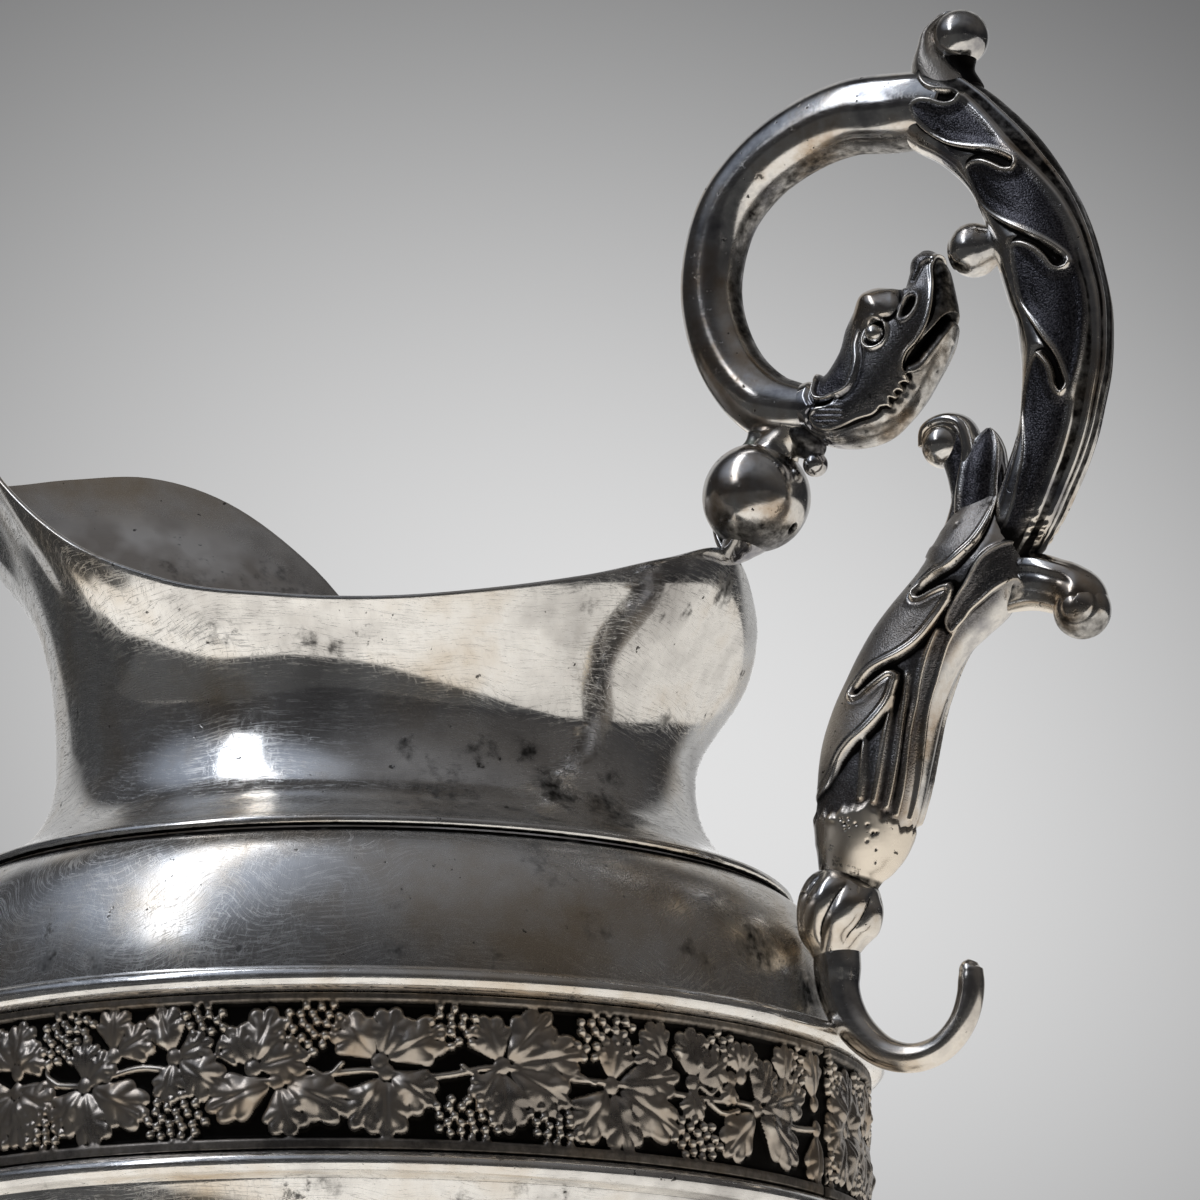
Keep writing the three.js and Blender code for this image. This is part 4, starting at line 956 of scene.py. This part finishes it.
faceLine = [
    (42.4, 52.1), (41.7, 51.6), (41.8, 50.8), (42.7, 50.25), (44.4, 50.25), (46.1, 50.7), (47.6, 51.1),
    (48.3, 51.7), (48.9, 51.5), (48.8, 52.3), (49.5, 52.1), (49.3, 52.9), (50.1, 52.7), (49.8, 53.5),
    (50.6, 53.4), (50.2, 54.4), (50.6, 55.7), (51.4, 56.6), (52.1, 57.8), (52.6, 59.7), (52.6, 61.5),
    (52.4, 63.2), (52.4, 66.0), (47.0, 66.0), (44.5, 60.0), (44.8, 55.0), (43.8, 52.3), (42.4, 52.1)]
mouthLine = [
    (50.25, 54.45), (50.9, 55.6), (51.8, 56.7), (52.7, 57.9), (53.6, 59.1), (56.0, 60.2), (56.0, 58.7),
    (54.1, 58.6), (53.4, 57.5), (52.3, 55.95), (51.2, 54.75), (50.25, 54.45)]
jawWire = [(50.2, 54.1), (51.1, 54.4), (52.4, 55.9), (53.5, 57.8), (54.1, 59.3)]
lipCrease = [(50.9, 62.2), (51.3, 62.9), (51.6, 63.5), (52.1, 63.8)]
throatLine = [
    (43.5, 49.7), (45.1, 49.7), (47.6, 49.9), (49.5, 50.8), (51.1, 52.4), (52.4, 54.4), (53.5, 56.7)]


def headGrid():
    # sections from crown to throat as half ellipses on each side, lifted along their own outward
    # direction by the carving
    middle = (headRows[:, :2] + headRows[:, 2:4]) / 2
    line = along(np.concatenate([middle, headRows], 1), serpent["count"])[0][:, 2:]
    a = np.linspace(-np.pi, np.pi, serpent["sides"], endpoint=False)
    centre = (line[:, None, :2] + line[:, None, 2:4]) / 2
    reach = (line[:, None, :2] - line[:, None, 2:4]) / 2
    flat = centre + reach * np.cos(a)[None, :, None]
    x = flat[..., 0]
    z = flat[..., 1]
    brow = lineGap(x, z, browLine, True)
    face = lineGap(x, z, faceLine, True, 4)
    mouth = lineGap(x, z, mouthLine, True)
    onBrow = smoothStep(-0.22, 0.26, brow)
    onFace = smoothStep(-0.10, 0.10, face)
    collar = smoothStep(46.6, 44.5, x)
    lift = (serpent["face"] * onFace + 0.16 * ridge(face - 0.18, 0.17) * (1 - onBrow)
            - 0.18 * ridge(face + 0.25, 0.22))
    lift = lift * (1 - onBrow) + onBrow * (0.22 + (serpent["brow"] - 0.22) * smoothStep(0, 2.2, brow))
    # domed brow, and the rim of the collar behind it
    dx, dz, wide = serpent["dome"]
    lift += 0.85 * onBrow * ridge(np.hypot(x - dx, z - dz), wide)
    lift += collar * onBrow * (0.18 * ridge(brow - 0.2, 0.17) - 0.3 * smoothStep(0.35, 0.7, brow))
    lift -= 0.28 * ridge(np.minimum(brow + 0.3, 0), 0.3) * (1 - onBrow) * smoothStep(0.9, 0.2, -brow)
    # eyeball in its socket, with a slanting lid round it
    ex, ez, er = serpent["eye"]
    eye = np.hypot(x - ex, z - ez)
    eyeball = np.where(eye < er, 0.62 * np.sqrt(np.clip(1 - (eye / er) ** 2, 0, None)), 0)
    lift += eyeball - 0.30 * ridge(eye - er - 0.12, 0.16)
    lid = np.hypot(0.8 * (0.5 * (x - ex) + 0.87 * (z - ez)), 0.87 * (x - ex) - 0.5 * (z - ez))
    lift += 0.30 * ridge(lid - er - 0.30, 0.15)
    # nostril: slanting pit with a raised edge
    nx, nz = serpent["nostril"]
    nostril = np.hypot(((x - nx) * 0.9 + (z - nz) * -0.4) / 0.48,
                       ((x - nx) * 0.4 + (z - nz) * 0.9) / 1.05)
    lift -= 0.55 * smoothStep(1.05, 0.6, nostril) - 0.16 * ridge(nostril - 1.25, 0.25)
    # mouth cut in, wire along the jaw, groove along the throat, crease at the lip
    inMouth = smoothStep(-0.05, 0.3, mouth)
    lift = lift * (1 - inMouth) - serpent["mouth"] * inMouth
    lift += 0.17 * ridge(lineGap(x, z, jawWire), 0.16) - 0.07 * ridge(lineGap(x, z, throatLine), 0.25)
    lift -= 0.3 * ridge(lineGap(x, z, lipCrease), 0.2)
    # fine hatching behind the cheek
    hatch = smoothStep(0.35, 0.5, face) * smoothStep(45.2, 44.4, x) * (1 - onBrow)
    lift += 0.07 * np.sin((z + 0.12 * x) * 2 * np.pi / 0.42) * hatch
    lift *= smoothStep(40.0, 41.4, x)
    across = line[:, 4][:, None] * np.sin(a)
    outward = np.stack([reach[..., 0] * np.cos(a), across, reach[..., 1] * np.cos(a)], 2)
    outward /= np.linalg.norm(outward, axis=2, keepdims=True)
    plain = np.stack([x, across, z], 2)
    # dirt in the carving, the throat darkened all over and more so above 58.5 mm, matted collar and face,
    # raised edges paler: partly rubbed bright, partly painted highlight
    throat = (0.42 + 0.2 * smoothStep(58.5, 60, z)) * (1 - onFace) * (1 - onBrow) * smoothStep(43, 45, x)
    hollow = crevices(lift, 20, 0.18) + 0.9 * inMouth + 0.9 * smoothStep(0.95, 0.7, nostril) + throat
    hollow = np.clip(hollow, 0, 1)
    matt = np.maximum(collar * onBrow * smoothStep(0.35, 0.5, brow),
                      0.8 * onFace * (1 - onBrow) * smoothStep(0.3, 0.5, face))
    matt = matt * smoothStep(1.3, 1.5, eye)
    worn = 0.6 * crevices(-lift, 14, 0.16) * (1 - hollow)
    return skin(plain + outward * lift[..., None], hollow=hollow, matt=matt, worn=worn)


castPiece("serpent_head", headGrid())

# crest: leaf tip curled over a ball on a short neck at the top of the arm
crest = {
    "rows": [
        (54.9, 75.2, 2.4, 2.6), (53.7, 77.8, 2.4, 2.7), (52.6, 79.8, 2.15, 2.6), (51.9, 81.3, 1.6, 2.4),
        (51.8, 82.6, 1.0, 2.1), (51.9, 83.8, 0.7, 1.8), (52.6, 84.8, 0.5, 1.4), (53.4, 85.45, 0.3, 0.8),
        (53.9, 85.6, 0.1, 0.3)],
    "neck": [(54.9, 78.6, 1.6), (54.4, 80.4, 1.25), (54.45, 82.2, 1.5)], "ball": (54.5, 83.4, 2.35),
    "tarnishAndShade": (0.42, -0.1, 0.4)}


def crestRelief(s, b):  # rim along the outer edge, matted face set in beside it
    face = smoothStep(-24, -44, b) * smoothStep(-150, -130, b)
    return 0.14 * ridge((b + 18) * 0.03, 0.3) - 0.12 * face, {"matt": face, "worn": 0.5 * face}


# painted shade: the crest's neck is black all over for the shade of its neighbours
def paintedShadeRelief(s, b):  # plain bar black all over, in the shade of its neighbours
    return np.zeros_like(s), {"hollow": np.ones_like(s)}


castPiece("crest_scroll", barGrid(crest["rows"], 150, 90, 1.0, crestRelief))
castPiece("crest_ball", ballGrid(*crest["ball"], 64, 110, tarnishAndShade=crest["tarnishAndShade"]),
          barGrid(crest["neck"], 30, 40, 1.0, paintedShadeRelief))

# ball on a short flared stalk inside the arm
stalk = {
    "rows": [
        (53.36, 64.5, 0.1), (53.5, 64.52, 0.85), (53.95, 64.55, 1.55), (54.65, 64.6, 2.08),
        (55.5, 64.68, 2.28), (56.3, 64.78, 2.15), (57.0, 64.86, 1.8), (57.6, 64.95, 1.6),
        (58.2, 65.08, 1.75), (58.9, 65.2, 2.3), (60.0, 65.4, 3.0)],
    "ballDarkening": 0.28, "dark": 0.37}


def stalkRelief(s, b):  # ball darkened all over, and darker where the stalk starts
    return np.zeros_like(s), {"hollow": stalk["ballDarkening"] + stalk["dark"] * smoothStep(3.4, 5.0, s)}


castPiece("inner_ball", barGrid(stalk["rows"], 90, 56, 1.0, stalkRelief))

# curl on the inner side: stem, strap rolled over a ball, and the pointed leaf beside it
curl = {
    "stem": [
        (54.7, 38.4, 2.9), (54.8, 40.0, 2.4), (54.9, 41.6, 1.9), (54.9, 43.4, 1.5), (54.6, 45.2, 1.45),
        (54.2, 46.8, 1.5), (53.6, 48.3, 1.5), (52.9, 49.0, 1.0)],
    "strap": [
        (55.0, 45.6, 0.7), (55.2, 47.9, 0.8), (54.5, 49.7, 0.82), (52.8, 50.1, 0.75), (51.3, 49.5, 0.6),
        (50.9, 48.2, 0.4)],
    "point": [
        (56.2, 39.8, 2.2), (55.9, 42.2, 2.2), (56.0, 44.4, 2.1), (56.3, 46.4, 1.9), (56.6, 47.8, 1.35),
        (56.7, 48.8, 0.6), (56.7, 49.25, 0.1)],
    "ball": (52.75, 48.2, 1.9)}


def stemRelief(s, b):  # matted face set in between plain edges
    face = smoothStep(-40, -65, b) * smoothStep(-170, -150, b)
    return -0.16 * face, {"matt": face}


def pointRelief(s, b):  # two rims with a matted face set in between
    face = smoothStep(-50, -65, b) * smoothStep(-150, -128, b)
    rims = 0.22 * ridge((b + 145) * 0.03, 0.22) + 0.1 * ridge((b + 45) * 0.03, 0.25)
    return rims - 0.2 * face, {"matt": face}


castPiece("inner_curl", barGrid(curl["stem"], 90, 64, 0.9, stemRelief),
          barGrid(curl["strap"], 90, 32, 2.1), ballGrid(*curl["ball"], 64, 110),
          barGrid(curl["point"], 110, 90, 0.95, pointRelief))

# spur on the outer side: stem with a rim along its top and a hollow face, rolled to a ball
spur = {
    "rows": [
        (55.0, 35.0, 1.8, 0.6), (57.4, 35.8, 2.4, 1.0), (59.4, 35.95, 2.45, 1.7),
        (61.0, 35.75, 2.35, 2.2), (62.4, 35.3, 2.25, 2.35), (63.6, 34.8, 2.25, 2.3),
        (64.7, 33.8, 2.25, 2.25), (64.9, 33.0, 2.0, 2.0)],
    "ball": (64.75, 33.05, 2.38), "rolled": 60, "tarnishAndShade": (0.5, 0.2, -0.6)}


def spurRelief(s, b):  # rim, hollow face and rubbed under side, all fading at both ends of the stem
    run = smoothStep(1.5, 5.0, s) * smoothStep(10.6, 8.4, s)
    face = smoothStep(-62, -80, b) * smoothStep(-146, -122, b) * run
    paler = 0.6 * smoothStep(-128, -150, b) * run
    return 0.14 * ridge((b + 50) * 0.04, 0.34) * run - 0.34 * face, {"hollow": 0.3 * face, "worn": paler}


castPiece("outer_curl", barGrid(spur["rows"], 120, 90, 1.0, spurRelief),
          ballGrid(*spur["ball"], 72, 120, rolled=spur["rolled"], tarnishAndShade=spur["tarnishAndShade"]))

# bud under the arm: knop of broad slanting petals
bud = {
    "rows": [
        (44.4, 13.0, 2.0), (44.1, 12.3, 2.7), (43.7, 11.3, 3.25), (43.3, 9.8, 3.45), (42.9, 8.1, 3.0),
        (42.85, 6.8, 2.2), (42.9, 5.7, 1.6)],
    "petals": 3.5, "slant": 0.34}


def budRelief(s, b):
    # petals as the size of a sine round the bud that slants with the length, fading at both ends
    petal = np.abs(np.sin(np.radians(b) * bud["petals"] + 0.7 + s * bud["slant"]))
    lift = (0.5 * petal ** 0.75 - 0.32) * smoothStep(0.5, 1.8, s) * smoothStep(6.9, 5.4, s)
    # painted shade: dark at the top, where the bud meets the arm's knob
    return lift, {"hollow": 0.6 * smoothStep(0.9, 0.3, s), "worn": 0.4 * smoothStep(2.0, 4.5, s)}


castPiece("bud_knop", barGrid(bud["rows"], 120, 160, 1.0, budRelief))

# hook below the bud, with its blunt broken tip
hook = {
    "rows": [
        (42.95, 8.4, 1.3), (42.95, 7.2, 1.8), (43.0, 5.6, 1.95), (43.1, 3.6, 1.76), (44.0, 1.2, 1.58),
        (45.4, -0.6, 1.45), (47.3, -2, 1.3), (49.8, -2.55, 1.2), (52.2, -1.85, 1.15), (53.9, -0.1, 1.12),
        (54.7, 2.2, 1.1), (54.8, 3.9, 1.02), (54.8, 4.6, 0.85), (54.95, 5.0, 0.4)],
    "broken": (27.4, 28.6)}


def hookRelief(s, b):  # smooth up to the broken tip, which is rippled and spotted black
    broken = smoothStep(*hook["broken"], s)
    spots = 0.7 * broken * smoothStep(-0.2, 0.5, np.sin(s * 4 + b / 20))
    return 0.12 * broken * np.sin(s * 6 + b / 14), {"hollow": spots, "worn": smoothStep(5, 12, s) * 0.4}


castPiece("tail_hook", barGrid(hook["rows"], 200, 48, 1.0, hookRelief))

# ball on the rim with its vent and solder, peg up to the serpent's throat, and the bead beside the peg
rimBall = {
    "ball": (35.7, 45.7, 4.55), "vent": (-42, 0.55, 0.9), "tarnishAndShade": (0.62, -0.4, -0.75),
    "solder": [
        (33.0, 40.2, 0.15), (33.15, 40.5, 0.6), (33.5, 41.0, 1.05), (34.1, 41.7, 1.5), (34.8, 42.5, 2.0),
        (35.3, 43.2, 2.3)],
    "run": [
        (33.1, 41.0, 0.6), (32.7, 41.7, 0.48), (32.3, 42.5, 0.42), (31.95, 43.5, 0.3),
        (31.65, 44.5, 0.12)]}
castPiece("rim_ball", ballGrid(*rimBall["ball"], 120, 180, [rimBall["vent"]], tarnishAndShade=rimBall["tarnishAndShade"]),
          barGrid(rimBall["solder"], 40, 40, 1.2), barGrid(rimBall["run"], 40, 24))
peg = {
    "rows": [(37.0, 48.6, 2.3), (37.8, 49.7, 1.9), (38.4, 50.6, 1.8), (38.9, 51.8, 2.1)],
    "foot": [(35.6, 49.2, 1.9), (35.9, 50.3, 1.15), (36.3, 51.2, 1.3), (36.9, 52.2, 1.9)],
    "lump": [(40.1, 51.0, 1.8), (40.4, 50.0, 1.5), (40.8, 49.2, 1.2), (41.05, 48.5, 0.8)],
    "bead": (41.1, 47.95, 1.05)}


def pegRelief(s, b):  # slow ripples, rubbed bare in slanting bands
    return 0.04 * np.sin(s * 3 + b / 20), {"worn": smoothStep(-0.6, 0.6, np.sin(s * 2 + b / 30))}


def greenRelief(s, b):  # slow ripples, green with copper near the ball
    crust = {"green": 0.7 * smoothStep(1.8, 1.0, s), "hollow": np.full_like(s, 0.35)}
    return 0.04 * np.sin(s * 3 - b / 18), crust


def lumpRelief(s, b):  # solder run together in knots, black with age
    return 0.10 * np.sin(s * 3 - b / 18), {"hollow": np.full_like(s, 0.6)}


castPiece("throat_peg", barGrid(peg["rows"], 50, 60, 1.0, pegRelief),
          barGrid(peg["foot"], 50, 60, 1.0, greenRelief))
castPiece("peg_bead", ballGrid(*peg["bead"], 32, 56), barGrid(peg["lump"], 40, 40, 1.0, lumpRelief))
print("handle: loop, leaf arms, serpent's head, curls, bud, hook, balls")


# Camera where the photographer's was: long lens, near the table, looking up
camera = {
    "lens": 180.3, "sensor": 36, "distance": 500.8, "round": 28.678, "height": -84.27, "yaw": 2.169,
    "pitch": 14.03, "roll": 0.4475}
bearing = math.radians(camera["round"])
toHandle = Vector((math.cos(bearing), math.sin(bearing), 0))  # picture's right, in the jug's frame
toPicture = Vector((-math.sin(bearing), math.cos(bearing), 0))  # away from the camera
yaw, pitch, roll = (math.radians(camera[key]) for key in ("yaw", "pitch", "roll"))
levelAhead = toHandle * math.sin(yaw) + toPicture * math.cos(yaw)
ahead = levelAhead * math.cos(pitch) + Vector((0, 0, math.sin(pitch)))
level = toHandle * math.cos(yaw) - toPicture * math.sin(yaw)
upright = level.cross(ahead)
right = level * math.cos(roll) + upright * math.sin(roll)
up = upright * math.cos(roll) - level * math.sin(roll)
spot = Vector(jugOrigin) + (toPicture * -camera["distance"] + Vector((0, 0, camera["height"]))) / 1000
lens = bpy.data.cameras.new("camera")
lens.lens = camera["lens"]
lens.sensor_width = camera["sensor"]
lens.clip_start = 0.01
lens.clip_end = 50
cameraObject = bpy.data.objects.new("camera", lens)
cameraObject.matrix_world = Matrix((right, up, -ahead)).transposed().to_4x4()
cameraObject.location = spot
bpy.context.scene.collection.objects.link(cameraObject)
bpy.context.scene.camera = cameraObject

# Studio: pale paper under the jug, dim room, pale wall behind, a tall leaning window on the left with
# haze about it. The paper glows with painted light, brighter on the window's side than on the other; its
# two levels, where they change in metres to the right (paperEdge), and how much of that painted glow
# metal and the camera see (paperShare, cameraShare) are set here; the rest is lit as it lies, with its
# shadow
studio = {
    "paper": "#fbf8f3", "paperFibre": "#f4efe8", "paperPaintedLight": (1.16, 0.88), "paperEdge": (-0.1, 0.35),
    "paperShare": 0.9, "cameraShare": 0.38, "paperHalf": 4.0, "room": (0.032, 0.032, 0.034),
    "wallWide": 0.42, "backdrop": 0.34, "aim": 0.135}
# wall: light in its middle, middle in thousands of picture points right and up, tilt in degrees, fall
# across and upwards
wall = {"light": 0.725, "middle": (0.044, -0.188), "tilt": 22.5, "across": 1.036, "upwards": 1.35}
floorMaterial = bpy.data.materials.new("pale_paper_floor")  # heavy drawing paper, faintly fibrous, with a painted glow that is brighter on the window's side
floorMaterial.use_nodes = True
floorTree = floorMaterial.node_tree
paperShader = floorTree.nodes["Principled BSDF"]
paperShader.inputs["Roughness"].default_value = 0.8
paperPlace = add(floorTree, "ShaderNodeTexCoord").outputs["Object"]
fibre = add(floorTree, "ShaderNodeTexNoise", {"Vector": paperPlace, "Scale": perMm / 18,
                                              "Detail": 3.0}).outputs["Fac"]
paperStops = [(0.3, studio["paperFibre"]), (0.7, studio["paper"])]
paper = add(floorTree, "ShaderNodeValToRGB", {"Fac": fibre}, paperStops).outputs["Color"]
floorTree.links.new(paper, paperShader.inputs["Base Color"])
seen = add(floorTree, "ShaderNodeLightPath").outputs
direct = add(floorTree, "ShaderNodeMath", {0: seen["Is Glossy Ray"], 1: seen["Is Transmission Ray"]},
             operation="ADD").outputs[0]
direct = add(floorTree, "ShaderNodeMath", {0: direct, 1: studio["paperShare"]},
             operation="MULTIPLY").outputs[0]
share = add(floorTree, "ShaderNodeMath", {0: seen["Is Camera Ray"], 1: studio["cameraShare"], 2: direct},
            operation="MULTIPLY_ADD", use_clamp=True).outputs[0]
toRight = add(floorTree, "ShaderNodeVectorMath", {0: paperPlace, 1: toHandle},
              operation="DOT_PRODUCT").outputs["Value"]
levels = dict(enumerate(studio["paperEdge"] + studio["paperPaintedLight"], 1))
# painted light: the paper's glow is brighter on the window's side
paintedLightLevel = add(floorTree, "ShaderNodeMapRange", {0: toRight, **levels}).outputs[0]
paperGlow = add(floorTree, "ShaderNodeEmission", {"Color": paper, "Strength": paintedLightLevel}).outputs[0]
paperMix = add(floorTree, "ShaderNodeMixShader",
               {0: share, 1: paperShader.outputs[0], 2: paperGlow}).outputs[0]
floorTree.links.new(paperMix, floorTree.nodes["Material Output"].inputs["Surface"])
floorMesh = bpy.data.meshes.new("floor")
half = studio["paperHalf"]
floorCorners = [(-half, -half, 0), (half, -half, 0), (half, half, 0), (-half, half, 0)]
floorMesh.from_pydata(floorCorners, [], [(0, 1, 2, 3)])
floorMesh.materials.append(floorMaterial)
floor = bpy.data.objects.new("floor", floorMesh)
bpy.context.scene.collection.objects.link(floor)

world = bpy.data.worlds.new("studio")
bpy.context.scene.world = world
world.use_nodes = True
sky = world.node_tree
looking = add(sky, "ShaderNodeTexCoord").outputs["Generated"]
cameraRay = add(sky, "ShaderNodeLightPath").outputs["Is Camera Ray"]
unseen = add(sky, "ShaderNodeMath", {0: 1.0, 1: cameraRay}, operation="SUBTRACT").outputs[0]


def bearingWay(side, high):
    # direction from the jug: degrees round from the camera to the picture's right, degrees up
    turnBy = math.radians(side)
    lift = math.radians(high)
    flat = -toPicture * math.cos(turnBy) + toHandle * math.sin(turnBy)
    return flat * math.cos(lift) + Vector((0, 0, math.sin(lift)))


def glowPatch(way, inner, outer, colour):
    # soft patch of light on the room's walls: whole within inner degrees of its middle and gone at
    # outer degrees; the camera's own rays pass it by
    facing = add(sky, "ShaderNodeVectorMath", {0: looking, 1: way},
                 operation="DOT_PRODUCT").outputs["Value"]
    gone, whole = (math.cos(math.radians(edge)) for edge in (outer, inner))
    fall = add(sky, "ShaderNodeMapRange", {0: facing, 1: gone, 2: whole},
               interpolation_type="SMOOTHSTEP").outputs[0]
    fall = add(sky, "ShaderNodeMath", {0: fall, 1: unseen}, operation="MULTIPLY").outputs[0]
    return add(sky, "ShaderNodeVectorMath", {0: colour, "Scale": fall}, operation="SCALE").outputs[0]


def paleWall():
    # wall behind the jug: light that falls off as a tilted bell over the angle from the camera's axis,
    # nothing to the rear
    tilt = math.radians(wall["tilt"])
    axes = [right * math.cos(tilt) - up * math.sin(tilt), right * math.sin(tilt) + up * math.cos(tilt)]
    middle = right * wall["middle"][0] + up * wall["middle"][1]
    squares = []
    for axis, steep in zip(axes, (wall["across"], wall["upwards"])):
        # one radian is lens / sensor picture widths of 1.2 thousand points
        run = axis * steep * camera["lens"] / camera["sensor"] * 1.2
        off = add(sky, "ShaderNodeVectorMath", {0: looking, 1: run},
                  operation="DOT_PRODUCT").outputs["Value"]
        off = add(sky, "ShaderNodeMath", {0: off, 1: axis.dot(middle) * steep},
                  operation="SUBTRACT").outputs[0]
        squares.append(add(sky, "ShaderNodeMath", {0: off, 1: off}, operation="MULTIPLY").outputs[0])
    fall = add(sky, "ShaderNodeMath", {0: squares[0], 1: squares[1]}, operation="ADD").outputs[0]
    fall = add(sky, "ShaderNodeMath", {0: fall, 1: -1.0}, operation="MULTIPLY").outputs[0]
    bell = add(sky, "ShaderNodeMath", {0: fall}, operation="EXPONENT").outputs[0]
    front = add(sky, "ShaderNodeVectorMath", {0: looking, 1: ahead},
                operation="DOT_PRODUCT").outputs["Value"]
    front = add(sky, "ShaderNodeMath", {0: front, 1: 0.0}, operation="MAXIMUM").outputs[0]
    bell = add(sky, "ShaderNodeMath", {0: bell, 1: front}, operation="MULTIPLY").outputs[0]
    return add(sky, "ShaderNodeVectorMath", {0: (wall["light"],) * 3, "Scale": bell},
               operation="SCALE").outputs[0]


def otherSides():
    # grey backdrop that the camera alone sees when it looks another way than the photographer's
    facing = add(sky, "ShaderNodeVectorMath", {0: looking, 1: ahead},
                 operation="DOT_PRODUCT").outputs["Value"]
    turnedAway = add(sky, "ShaderNodeMapRange", {0: facing, 1: 0.98, 2: 0.8}).outputs[0]
    seenShare = add(sky, "ShaderNodeMath", {0: 1.0, 1: unseen}, operation="SUBTRACT").outputs[0]
    turnedAway = add(sky, "ShaderNodeMath", {0: turnedAway, 1: seenShare},
                     operation="MULTIPLY").outputs[0]
    return add(sky, "ShaderNodeVectorMath", {0: (studio["backdrop"],) * 3, "Scale": turnedAway},
               operation="SCALE").outputs[0]


# hazes about the window and overhead: degrees to the right and up, whole within, gone at, colour
hazes = [
    (-68, 52, 2, 36, (0.26, 0.30, 0.38)), (-10, 70, 5, 48, (0.07, 0.075, 0.085)),
    (60, 55, 10, 62, (0.05, 0.045, 0.04))]
lobes = [paleWall(), glowPatch(ahead, 34, 47, (studio["wallWide"],) * 3)]
lobes += [glowPatch(bearingWay(side, high), inner, outer, colour)
          for side, high, inner, outer, colour in hazes]
lobes.append(otherSides())
total = studio["room"]
for lit in lobes:
    total = add(sky, "ShaderNodeVectorMath", {0: total, 1: lit}, operation="ADD").outputs[0]
sky.links.new(total, sky.nodes["Background"].inputs["Color"])


def softbox(name, away, side, high, lean, width, tall, strength, colour):
    # panel facing the jug: away mm from its axis, side and high degrees as for a bearing, seen from the
    # neck; lean is how many degrees its top tips to the rear in its own plane
    lamp = bpy.data.lights.new(name, "AREA")
    lamp.shape = "RECTANGLE"
    lamp.size = width / 1000
    lamp.size_y = tall / 1000
    lamp.energy = strength * math.pi * lamp.size * lamp.size_y
    lamp.color = linear(colour)[:3]
    panel = bpy.data.objects.new(name, lamp)
    middle = Vector((jugOrigin[0], 0, studio["aim"]))
    panel.location = middle + bearingWay(side, high) * away / 1000
    panel.rotation_mode = "QUATERNION"
    facing = (middle - panel.location).to_track_quat("-Z", "Y")
    panel.rotation_quaternion = facing @ Quaternion((0, 0, 1), math.radians(lean))
    panel.visible_camera = False
    bpy.context.scene.collection.objects.link(panel)


def flag(name, glow, corners, faces=None):
    # dark card that only metal sees: corners in mm to the picture's right, towards the camera, and up
    # from the table; one face goes through all corners unless several are given
    cloth = bpy.data.materials.new(name + "_cloth")  # black velvet, with what little light it throws back
    cloth.use_nodes = True
    tree = cloth.node_tree
    glowing = add(tree, "ShaderNodeEmission",
                  {"Color": (0.97, 0.98, 1.0, 1.0), "Strength": glow}).outputs[0]
    tree.links.new(glowing, tree.nodes["Material Output"].inputs["Surface"])
    mesh = bpy.data.meshes.new(name)
    underJug = Vector((jugOrigin[0], 0, 0))
    places = [underJug + (toHandle * a - toPicture * b + Vector((0, 0, c))) / 1000 for a, b, c in corners]
    mesh.from_pydata(places, [], faces or [list(range(len(corners)))])
    mesh.materials.append(cloth)
    card = bpy.data.objects.new(name, mesh)
    bpy.context.scene.collection.objects.link(card)
    card.visible_camera = False
    card.visible_diffuse = False
    card.visible_shadow = False


window = {
    "away": 1000, "side": -64, "high": 52, "lean": 26, "width": 190, "tall": 1180, "strength": 3.2,
    "colour": "#eef4ff"}
softbox("window", **window)
# the table's left edge: to the right, towards the camera, and the height of the dark things that stand
# beyond it
leftEdge = [
    (-169, -34, 222), (-226, -124, 224), (-260, -229, 230), (-364, -446, 246), (-420, -700, 262),
    (-440, -1150, 296)]
leftFoot = [(a, b, 2) for a, b, _ in leftEdge]
# its front edge, and the corners of the dark room beyond
frontEdge = [(-148, 55, 2), (-70, 215, 2), (25, 295, 2), (200, 335, 2), (500, 480, 2), (4200, 1700, 2)]
darkRoom = [(4200, 4200, 2), (-4200, 4200, 2), (-4200, -1500, 2), (-520, -1500, 2)]
flag("front_flag", 0.07, frontEdge + darkRoom + leftFoot[::-1])
last = len(leftEdge)
leftFaces = [(i, i + 1, i + 1 + last, i + last) for i in range(last - 1)]
flag("left_flag", 0.03, leftFoot + leftEdge, leftFaces)
print("studio: camera, paper, wall, window, two dark flags")

bpy.context.scene.view_settings.view_transform = "Standard"
